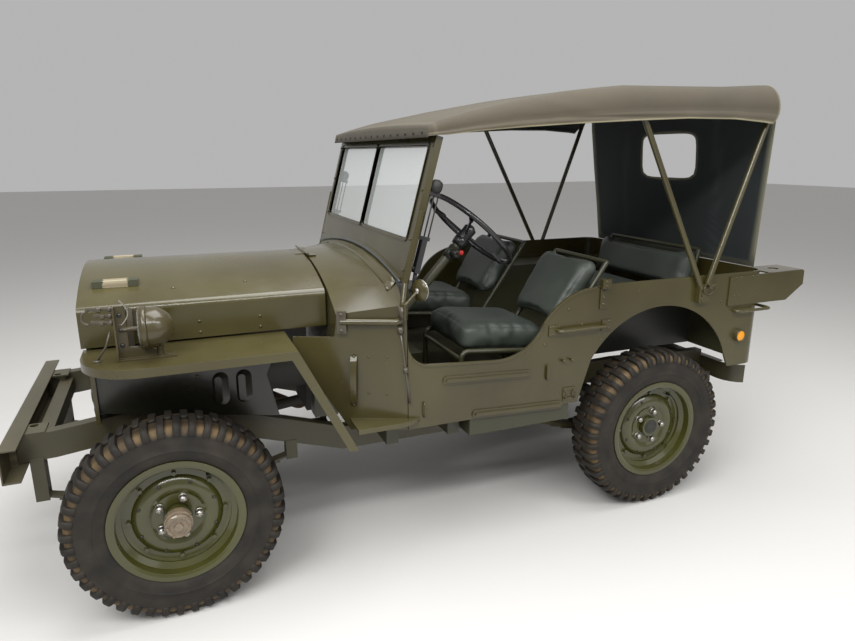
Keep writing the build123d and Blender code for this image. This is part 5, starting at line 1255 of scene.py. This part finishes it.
# The front edge is turned down in a flap, which ends at this height and half width.
flap_z, flap_half = 1.634, 0.655
flap_steps = 3
roof_steps = 120
roof_front, roof_back = roof_stations[0][0], roof_stations[-1][0]
bm = bmesh.new()
flat_map, hem_value, stitch_value = flat_layers(bm)
bmesh.ops.create_grid(bm, x_segments=2 * half_rows, y_segments=roof_steps + flap_steps, size=1)
across_of = {v: round((v.co.x + 1) * half_rows) for v in bm.verts}
along_of = {v: round((v.co.y + 1) / 2 * (roof_steps + flap_steps)) for v in bm.verts}
reach = [0.0]
for row in range(half_rows):
    reach.append(reach[-1] + math.dist(roof_section(front_bow_y, row + 1), roof_section(front_bow_y, row)))
roof_half_cut = reach[-1]
flat_place = {}
for v in bm.verts:
    row = across_of[v]
    side = 1 if row <= half_rows else -1
    up_row = row if side > 0 else 2 * half_rows - row
    step = along_of[v] - flap_steps
    y = roof_front + (roof_back - roof_front) * max(step, 0) / roof_steps
    x, z = roof_section(y, up_row)
    loose = 1 - up_row / side_rows
    if step < 0:
        down = -step / flap_steps
        z = z + (min(z, flap_z) - z) * down
        y = roof_front - 0.004 * math.sin(down * math.pi / 2)
        x = min(x, flap_half) if down > 0.5 else x
    slack = slack_at(y)
    if loose > 0:
        ripple = math.sin(y * 19 + side) * 0.0035 + math.sin(y * 43 + 2 * side) * 0.0014
        fold_z = 1.712 + (y - 1.6) * 0.03
        fold = math.exp(-(((z - fold_z) / 0.007) ** 2)) * math.exp(-(((y - 1.68) / 0.26) ** 2))
        crumple = noise.noise(Vector((y * 2.1, z * 24 + 1.5 * math.sin(y * 4), side * 3.0)))
        x += slack * loose * (ripple + 0.002) - fold * 0.007 + 0.0042 * crumple * slack * loose ** 0.4
    else:
        z -= slack * 0.006 * (1 - (x / 0.7) ** 2)
        z += 0.0022 * slack * noise.noise(Vector((x * side * 3.1, y * 3.7, z * 3.1)))
    lean = 0.085 * max(0.0, loose) ** 0.85 * max(0.0, (y - 2.2) / 0.366)
    v.co = at(side * x, y - lean, z)
    v[hem_value] = 1.0 if up_row <= 2 or step == roof_steps else 0.0
    v[stitch_value] = 1.0 if up_row in (3, 4) or step == 2 else 0.0
    flat_place[v] = (side * (roof_half_cut - reach[up_row]), y - roof_front)
for face in bm.faces:
    for loop in face.loops:
        loop[flat_map].uv = flat_place[loop.vert]
smooth_faces(bm.faces)
bmesh.ops.recalc_face_normals(bm, faces=bm.faces)
if sum(f.normal.z for f in bm.faces) < 0:
    bmesh.ops.reverse_faces(bm, faces=bm.faces)
canvas_roof = cloth_piece("canvas_roof", bm)

# Studs: fifteen round heads that fasten the canvas's front edge along the windshield's top.
# They are snap fasteners of blackened steel, set through the turned-down edge.
bm = bmesh.new()
stud = ((-0.001, 0.0), (-0.001, 0.0068), (0.0012, 0.0065), (0.0035, 0.0045), (0.0042, 0.0))
for run in shares(14, 1.204):
    turned(bm, stud, at(run - 0.602, roof_front - 0.0044, 1.652), (0, -1, 0.05), 14)
add_mesh("canvas_front_studs", bm, dark_steel)

# Rear curtain: the same duck, sewn under the roof's rear edge and strapped down to the body.
# Two upright seams join its three widths, and a bound opening with round corners is the window.
curtain_top = at(0, 2.556, 1.872)
curtain_down = Vector((0, 0.067, -0.815)).normalized()
curtain_half, curtain_foot, curtain_drop = 0.664, 0.597, 0.816
cut_width, cut_drop = 1.33, 0.82
seam_x = 0.34
# Columns: distance from the middle, distance down the curtain.
curtain_outline = (
    (curtain_half, 0.038), (curtain_half, 0.15), (0.6525, 0.27), (0.6415, 0.38), (0.63, 0.49), (0.6185, 0.6),
    (0.6075, 0.71), (curtain_foot, curtain_drop),
)
window_half, window_rise = 0.2, 0.1125
window_centre = Vector((0, 0.305))
ring_count = 14
right_edge = [Vector(p) for p in curtain_outline]
bottom = [Vector((curtain_foot - 0.0543 * k, curtain_drop)) for k in range(1, 22)]
left_edge = [Vector((-x, down)) for x, down in reversed(curtain_outline)]
top_edge = []
for run in shares(24, 1.2552):
    x = run - 0.628
    rounded = min(1, (curtain_half - abs(x)) / 0.036)
    top_edge.append(Vector((x, 0.038 - 0.026 * rounded - 0.025 * (1 - (x / curtain_half) ** 2))))
outer = right_edge + bottom + left_edge + top_edge
bm = bmesh.new()
flat_map, hem_value, stitch_value = flat_layers(bm)
rings = []
flat_place = {}
for ring in range(ring_count + 1):
    row = []
    for point in outer:
        ray = point - window_centre
        spread = ((abs(ray.x) / window_half) ** 6 + (abs(ray.y) / window_rise) ** 6) ** (-1 / 6)
        inner = window_centre + ray * spread
        if ring <= 2:
            x, down = inner + ray.normalized() * (0.0, 0.012, 0.018)[ring]
        else:
            x, down = inner.lerp(point, 0.03 + 0.97 * (ring - 2) / (ring_count - 2))
        billow = math.sin(math.pi * min(1, down / cut_drop)) * (1 - (x / 0.68) ** 2) * 0.006
        loose = 1 - abs(2 * down / cut_drop - 1) ** 4
        billow += 0.003 * noise.noise(Vector((x * 5, down * 4, 0.3))) * loose
        v = bm.verts.new(curtain_top + Vector((x, 0, 0)) + curtain_down * down + Vector((0, billow, 0)))
        v[hem_value] = 1.0 if ring <= 1 or (ring == ring_count and down > 0.03) else 0.0
        v[stitch_value] = 1.0 if ring == 2 or abs(abs(x) - seam_x) < 0.02 else 0.0
        flat_place[v] = (x, down)
        row.append(v)
    rings.append(row)
for near, far in zip(rings, rings[1:]):
    for k in range(len(outer)):
        face = bm.faces.new((near[k], near[k - 1], far[k - 1], far[k]))
        face.smooth = True
        for loop in face.loops:
            loop[flat_map].uv = flat_place[loop.vert]
if sum(f.normal.y for f in bm.faces) < 0:
    bmesh.ops.reverse_faces(bm, faces=bm.faces)
rear_curtain = cloth_piece("rear_curtain", bm)

# Stage: pale studio floor, soft light from above and in front, camera at the photograph's place.
# A long narrow light over the car's left side draws the bright lines along its panels.
bm = bmesh.new()
bmesh.ops.create_grid(bm, x_segments=1, y_segments=1, size=30)
floor_mesh = bpy.data.meshes.new("studio_floor")
bm.to_mesh(floor_mesh)
bm.free()
studio_floor = bpy.data.objects.new("studio_floor", floor_mesh)
bpy.context.collection.objects.link(studio_floor)
pale, tree, shader, place = new_finish("pale_floor")
shader.inputs["Base Color"].default_value = (0.6, 0.59, 0.57, 1)
shader.inputs["Roughness"].default_value = 0.7
floor_mesh.materials.append(pale)

world = bpy.data.worlds.new("studio")
bpy.context.scene.world = world
world.use_nodes = True
sky = world.node_tree.nodes["Background"]
sky.inputs["Color"].default_value = (0.92, 0.92, 0.92, 1)
sky.inputs["Strength"].default_value = 0.5


def area_light(name, power, size, spot, turn):
    """A soft rectangular light at a place, turned by a matrix from facing down."""
    lamp = bpy.data.lights.new(name, "AREA")
    lamp.shape = "RECTANGLE"
    lamp.energy = power
    lamp.size, lamp.size_y = size
    holder = bpy.data.objects.new(name, lamp)
    holder.matrix_world = Matrix.Translation(spot) @ turn
    bpy.context.collection.objects.link(holder)


strip_turn = Matrix.Rotation(math.radians(42), 4, "Y") @ Matrix.Rotation(math.radians(90), 4, "Z")
area_light("strip_light", 130, (6.0, 0.35), (3.4, -0.4, 3.6), strip_turn)
for name, spot, aim, power, size in (
    ("key_light", (3.0, -3.4, 4.6), (0, -0.3, 0.8), 170, 2.6),
    ("top_light", (0.2, 0.2, 4.8), (0, 0, 0.8), 210, 3.4),
    ("fill_light", (4.8, 2.6, 2.6), (0, 0.4, 0.9), 30, 3.0),
):
    facing = (Vector(aim) - Vector(spot)).to_track_quat("-Z", "Y").to_matrix().to_4x4()
    area_light(name, power, (size, size), spot, facing)

photo_eye = Vector((2.8017, -1.1128, 1.5768))
yaw, pitch = math.radians(67.898), math.radians(14.553)
sight = Vector((-math.sin(yaw) * math.cos(pitch), math.cos(yaw) * math.cos(pitch), -math.sin(pitch)))
camera_data = bpy.data.cameras.new("photo_camera")
camera_data.sensor_width = 36
camera_data.lens = 26.97
camera_data.clip_start = 0.05
camera = bpy.data.objects.new("photo_camera", camera_data)
camera.location = photo_eye
camera.rotation_euler = sight.to_track_quat("-Z", "Y").to_euler()
bpy.context.collection.objects.link(camera)
bpy.context.scene.camera = camera
bpy.context.scene.view_settings.view_transform = "Standard"
